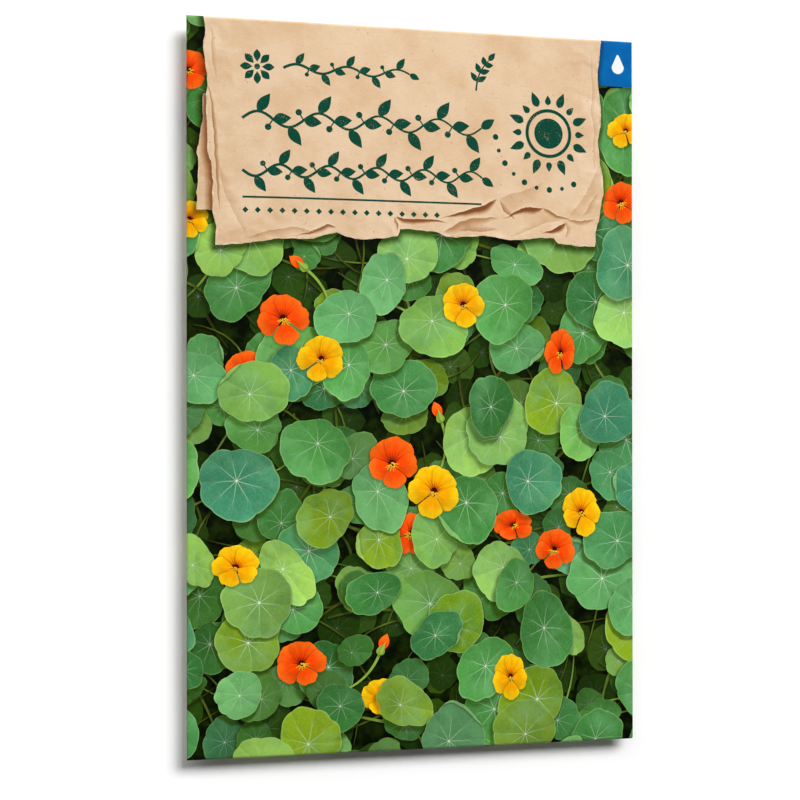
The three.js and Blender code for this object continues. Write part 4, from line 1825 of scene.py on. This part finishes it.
@dataclass(frozen=True)
class KraftFinish(PaperFinish):
    """Kraft paper: cloudy, fibrous and specked, and crumpled along a torn edge."""

    clear: Colour = srgb(230, 203, 171)
    cloudy: Colour = srgb(220, 187, 149)
    fibre: Colour = srgb(176, 132, 92)
    fibre_runs: tuple[Pair, ...] = ((0.4, 5.0), (-0.7, 7.0), (1.9, 6.0))  # turn and stretch
    crumple: float = 12.0  # how far the folds reach from the tear, in millimetres, or 0 for a flat sheet
    folds: float = 0.5
    warmth: tuple[float, float, float] = (0.8, 1.25, 1.7)  # shade on kraft turns brown, not grey

    def colour(self, recipe: Recipe) -> Signal:
        """See PaperFinish."""
        u, v, _ = recipe.split("spot")
        light, torn, _ = recipe.split("cast")
        flat = recipe.join(u, v, 0.0)
        cloud = recipe.noise(flat, 0.09, 5.0, 0.6)
        colour = recipe.mix(recipe.smooth(cloud, 0.38, 0.68), self.clear, self.cloudy)
        for turn, stretch in self.fibre_runs:
            feeds = {"Vector": flat, "Rotation": (0, 0, turn), "Scale": (1 / stretch, 1, 1)}
            run = recipe.noise(recipe.node("ShaderNodeMapping", feeds), 1.5, 2.0, 0.7)
            colour = recipe.mix(recipe.smooth(run, 0.635, 0.7, 0.0, 0.12), colour, self.fibre)
        colour = recipe.mix(recipe.smooth(recipe.cells(flat, 0.42), 0.05, 0.1, 0.5, 0.0), colour, self.fibre)
        light *= recipe.noise(flat, 2.4, 5.0, 0.75) * 0.3 + 0.84
        if not self.crumple:
            return recipe.scale(colour, light)
        light *= self.crumples(recipe, u, v, torn)
        warm = recipe.join(*(light**power for power in self.warmth))
        return recipe.node("ShaderNodeVectorMath", {0: colour, 1: warm}, operation="MULTIPLY")

    def crumples(self, recipe: Recipe, u: Signal, v: Signal, torn: Signal) -> Signal:
        """The light and shade of folds that grow stronger towards the torn edge."""
        band = recipe.smooth(torn, 0.0, self.crumple, 1.0, 0.12)
        bend = self.fold_height(recipe, u, v) - self.fold_height(recipe, u + 0.5, v + 0.7)
        return (bend * self.folds).math("MAXIMUM", -0.36).math("MINIMUM", 0.14) * band + 1.0

    def fold_height(self, recipe: Recipe, u: Signal, v: Signal) -> Signal:
        """The height of the crumpled sheet at a place, in long sharp-ridged folds."""
        warp = recipe.noise(recipe.join(u, v, 3.0), 0.1, 2.0) * 16.0 - 8.0
        place = recipe.join(u * 0.4 + warp, v + warp, 5.0)
        return recipe.cells(place, 0.12) + recipe.noise(place, 0.14, 2.0)


@dataclass(frozen=True)
class WornInkFinish(PaperFinish):
    """A stamped ink that lets the paper through in specks."""

    ink: Colour = srgb(6, 70, 52)
    paper: Colour = srgb(206, 182, 148)

    def colour(self, recipe: Recipe) -> Signal:
        """See PaperFinish."""
        u, v, _ = recipe.split("spot")
        flat = recipe.join(u, v, 0.0)
        grain = recipe.noise(flat, 0.35, 2.0) * 0.35 + recipe.noise(flat, 3.4, 3.0, 0.7)
        light, _, _ = recipe.split("cast")
        return recipe.scale(recipe.mix(recipe.smooth(grain, 0.8, 0.87, 0.0, 0.7), self.ink, self.paper), light)


@dataclass(frozen=True)
class SeedFinish:
    """The corky, furrowed coat of a nasturtium seed."""

    name: str = "seed_cork"
    ridge: Colour = srgb(196, 164, 118)
    furrow: Colour = srgb(112, 82, 50)

    def material(self) -> bpy.types.Material:
        """Builds the material."""
        recipe = Recipe(self.name)
        place = recipe.place()
        rough = recipe.noise(place, 1600.0, 4.0) * 0.4 + recipe.cells(place, 900.0)
        share = recipe.smooth(rough, 0.3, 0.85)
        recipe.bump(share, 0.00012, 0.7)
        return recipe.finish(recipe.mix(share, self.furrow, self.ridge), 0.82)


def sheet_finishes() -> dict[Ink, PaperFinish]:
    """The finish of each ink on the sheet."""
    return {
        Ink.UNDERGROWTH: ShadedFinish(
            "undergrowth_ink", dark=srgb(3, 9, 0), pale=srgb(28, 44, 3), scale=0.3, detail=3.0
        ),
        Ink.STEM: ShadedFinish("stem_ink", dark=srgb(98, 114, 26), pale=srgb(146, 180, 70), scale=1.2, by_tone=0.7),
        Ink.LEAF: LeafFinish("leaf_ink"),
        Ink.PETAL_RED: PetalFinish("red_petal_ink"),
        Ink.PETAL_GOLD: PetalFinish(
            "gold_petal_ink", tip=srgb(255, 204, 20), blade=srgb(255, 172, 0), throat=srgb(190, 50, 6)
        ),
        Ink.EYE: ShadedFinish("eye_ink", dark=srgb(92, 16, 6), pale=srgb(244, 184, 40), scale=8.0, by_tone=1.0),
        Ink.KRAFT: KraftFinish("kraft_ink"),
        Ink.TORN_FIBRE: ShadedFinish("torn_fibre_ink", dark=srgb(214, 178, 140), pale=srgb(244, 222, 194), scale=0.8),
        Ink.GREEN: WornInkFinish("green_ink"),
        Ink.BLUE: ShadedFinish("blue_ink", dark=srgb(0, 98, 168), pale=srgb(2, 108, 180), scale=0.3),
        Ink.WHITE: PlainFinish("white_ink", flat=srgb(238, 242, 242)),
        Ink.BACK: KraftFinish("back_kraft_ink", cloudy=srgb(225, 195, 160), crumple=0.0),
        Ink.BARE: PlainFinish("bare_paper", roughness=0.7, flat=srgb(240, 238, 230)),
    }


# --- Seeds ---


@dataclass(frozen=True)
class Seeds:
    """The nasturtium seeds inside the packet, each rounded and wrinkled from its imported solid."""

    finish: SeedFinish = SeedFinish()
    wrinkle: float = 0.14  # depth of the furrows, inwards only, in millimetres
    furrow: float = 1.5  # from one furrow to the next, in millimetres
    levels: int = 2
    weld: float = 0.01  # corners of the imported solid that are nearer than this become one, in millimetres

    def build(self, nodes: dict[str, bpy.types.Object]) -> dict[str, bpy.types.Object]:
        """Makes a seed from each packed one.

        Args:
            nodes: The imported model's nodes.

        Returns:
            The seeds, by the node that each one stands for.
        """
        coat = self.finish.material()
        wrinkles = bpy.data.textures.new("seed_wrinkles", "VORONOI")
        wrinkles.noise_scale = self.furrow * MM
        found = {}
        for name in sorted(nodes):
            if name.startswith(SEED_PREFIX):
                found[name] = self.seed(nodes[name], "nasturtium_" + name, coat, wrinkles)
        LOG.info("%d seeds", len(found))
        return found

    def seed(
        self, node: bpy.types.Object, name: str, coat: bpy.types.Material, wrinkles: bpy.types.Texture
    ) -> bpy.types.Object:
        """Makes one seed.

        Args:
            node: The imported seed, which stays as it is.
            name: The new piece's name.
            coat: Its material.
            wrinkles: The pattern of its furrows.

        Returns:
            The finished seed.
        """
        piece = bpy.data.objects.new(name, node.data.copy())
        bpy.context.scene.collection.objects.link(piece)
        piece.data.materials.clear()
        piece.data.materials.append(coat)
        make_active(piece)
        bpy.ops.object.mode_set(mode="EDIT")
        bpy.ops.mesh.select_all(action="SELECT")
        bpy.ops.mesh.remove_doubles(threshold=self.weld * MM)
        bpy.ops.mesh.normals_make_consistent(inside=False)
        bpy.ops.object.mode_set(mode="OBJECT")
        rounder = piece.modifiers.new("rounder", "SUBSURF")
        rounder.levels = rounder.render_levels = self.levels
        furrows = piece.modifiers.new("furrows", "DISPLACE")
        furrows.texture = wrinkles
        furrows.texture_coords = "LOCAL"
        furrows.strength = self.wrinkle * MM
        furrows.mid_level = 1.0
        for modifier in (rounder, furrows):
            bpy.ops.object.modifier_apply(modifier=modifier.name)
        bpy.ops.object.shade_smooth()
        return piece


# --- Studio ---


@dataclass
class Studio:
    """The white floor, the lights and the camera that looks down on the packet."""

    turn: float = math.radians(16.11)  # how far the camera stands to the packet's left
    pitch: float = math.radians(0.2)
    roll: float = math.radians(-0.06)
    eye: tuple[float, float, float] = (-115.1, -9.4, 389.2)
    lens: float = 84.05
    sensor: float = 36.0
    clip: Pair = (0.01, 20.0)
    shift: Pair = (0.0, 0.0325)
    suns: tuple[tuple[str, float, float, tuple[float, float, float]], ...] = (  # name, energy, angle, from where
        ("key_light_high", 1.68, 25.0, (0.22, 0.76, 1.0)),
        ("key_light_low", 1.7, 25.0, (0.64, 0.76, 1.0)),
        ("fill_light", 0.85, 50.0, (-0.7, 0.95, 0.9)),
    )
    sky: float = 0.045
    horizon: Pair = (0.17, 0.26)  # the heights between which white turns to the dim sky
    floor_size: float = 6.0
    floor_gap: float = 0.02  # from the floor to the packet, in millimetres

    def build(self) -> None:
        """Sets everything up."""
        self.floor()
        self.lights()
        self.camera()
        bpy.context.scene.view_settings.view_transform = "Standard"

    def floor(self) -> None:
        """Lays a wide white floor just under the packet."""
        bpy.ops.mesh.primitive_plane_add(size=self.floor_size, location=(0, 0, 0))
        floor = bpy.context.object
        floor.name = "studio_floor"
        make_active(floor)
        floor.location.z = -self.floor_gap * MM
        bpy.ops.object.transform_apply(location=True)
        floor.data.materials.append(Recipe("studio_white").finish((0.98, 0.98, 0.98, 1.0), 0.9, 0.0))

    def lights(self) -> None:
        """Adds two soft suns from the upper right, a weak one from the left, and a dim sky, white at the horizon."""
        for name, energy, angle, source in self.suns:
            sun = bpy.data.lights.new(name, "SUN")
            sun.energy, sun.angle = energy, math.radians(angle)
            lamp = bpy.data.objects.new(name, sun)
            bpy.context.scene.collection.objects.link(lamp)
            lamp.rotation_euler = Vector(source).to_track_quat("Z", "Y").to_euler()
        world = bpy.data.worlds.new("studio_sky")
        bpy.context.scene.world = world
        world.use_nodes = True
        nodes, links = world.node_tree.nodes, world.node_tree.links
        part = nodes.new("ShaderNodeSeparateXYZ")
        rise = nodes.new("ShaderNodeMapRange")
        links.new(nodes.new("ShaderNodeTexCoord").outputs["Generated"], part.inputs[0])
        links.new(part.outputs["Z"], rise.inputs["Value"])
        for name, value in zip(("From Min", "From Max", "To Min", "To Max"), (*self.horizon, 1.0, self.sky)):
            rise.inputs[name].default_value = value
        links.new(rise.outputs["Result"], nodes["Background"].inputs["Strength"])
        nodes["Background"].inputs["Color"].default_value = (1.0, 1.0, 1.0, 1.0)

    def camera(self) -> None:
        """Sets the camera."""
        lens = bpy.data.cameras.new("studio_camera")
        lens.lens, lens.sensor_width = self.lens, self.sensor
        lens.shift_x, lens.shift_y = self.shift
        lens.clip_start, lens.clip_end = self.clip
        camera = bpy.data.objects.new("studio_camera", lens)
        bpy.context.scene.collection.objects.link(camera)
        pose = Matrix.Identity(4)
        for angle, axis in ((-self.turn, "Y"), (self.pitch, "X"), (self.roll, "Z")):
            pose @= Matrix.Rotation(angle, 4, axis)
        pose.translation = Vector(self.eye) * MM
        camera.matrix_world = pose
        bpy.context.scene.camera = camera


# --- The whole ---


def main() -> None:
    """Builds the packet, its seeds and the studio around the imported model."""
    logging.basicConfig(level=logging.INFO, format="%(name)s: %(message)s")
    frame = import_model()
    low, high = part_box(SHEET_NODE)
    form = PacketForm((high.x - low.x) / 2 / MM, (high.y - low.y) / 2 / MM, high.z / MM)
    LOG.info("packet %.1f x %.1f x %.1f mm", 2 * form.half_width, 2 * form.half_height, form.thickness)

    label = KraftLabel()
    printed = Foliage(form).patches() + CornerTab(form).patches() + label.patches() + BackPrint(form).patches()
    sheet = PrintedSheet(form, printed, label.torn, label.facets, sheet_finishes()).build()
    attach(sheet, "root")
    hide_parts(SHEET_NODE)
    for node, seed in Seeds().build(frame["nodes"]).items():
        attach(seed, "root")
        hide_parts(node)
    Studio().build()


if __name__ == "__main__":
    main()
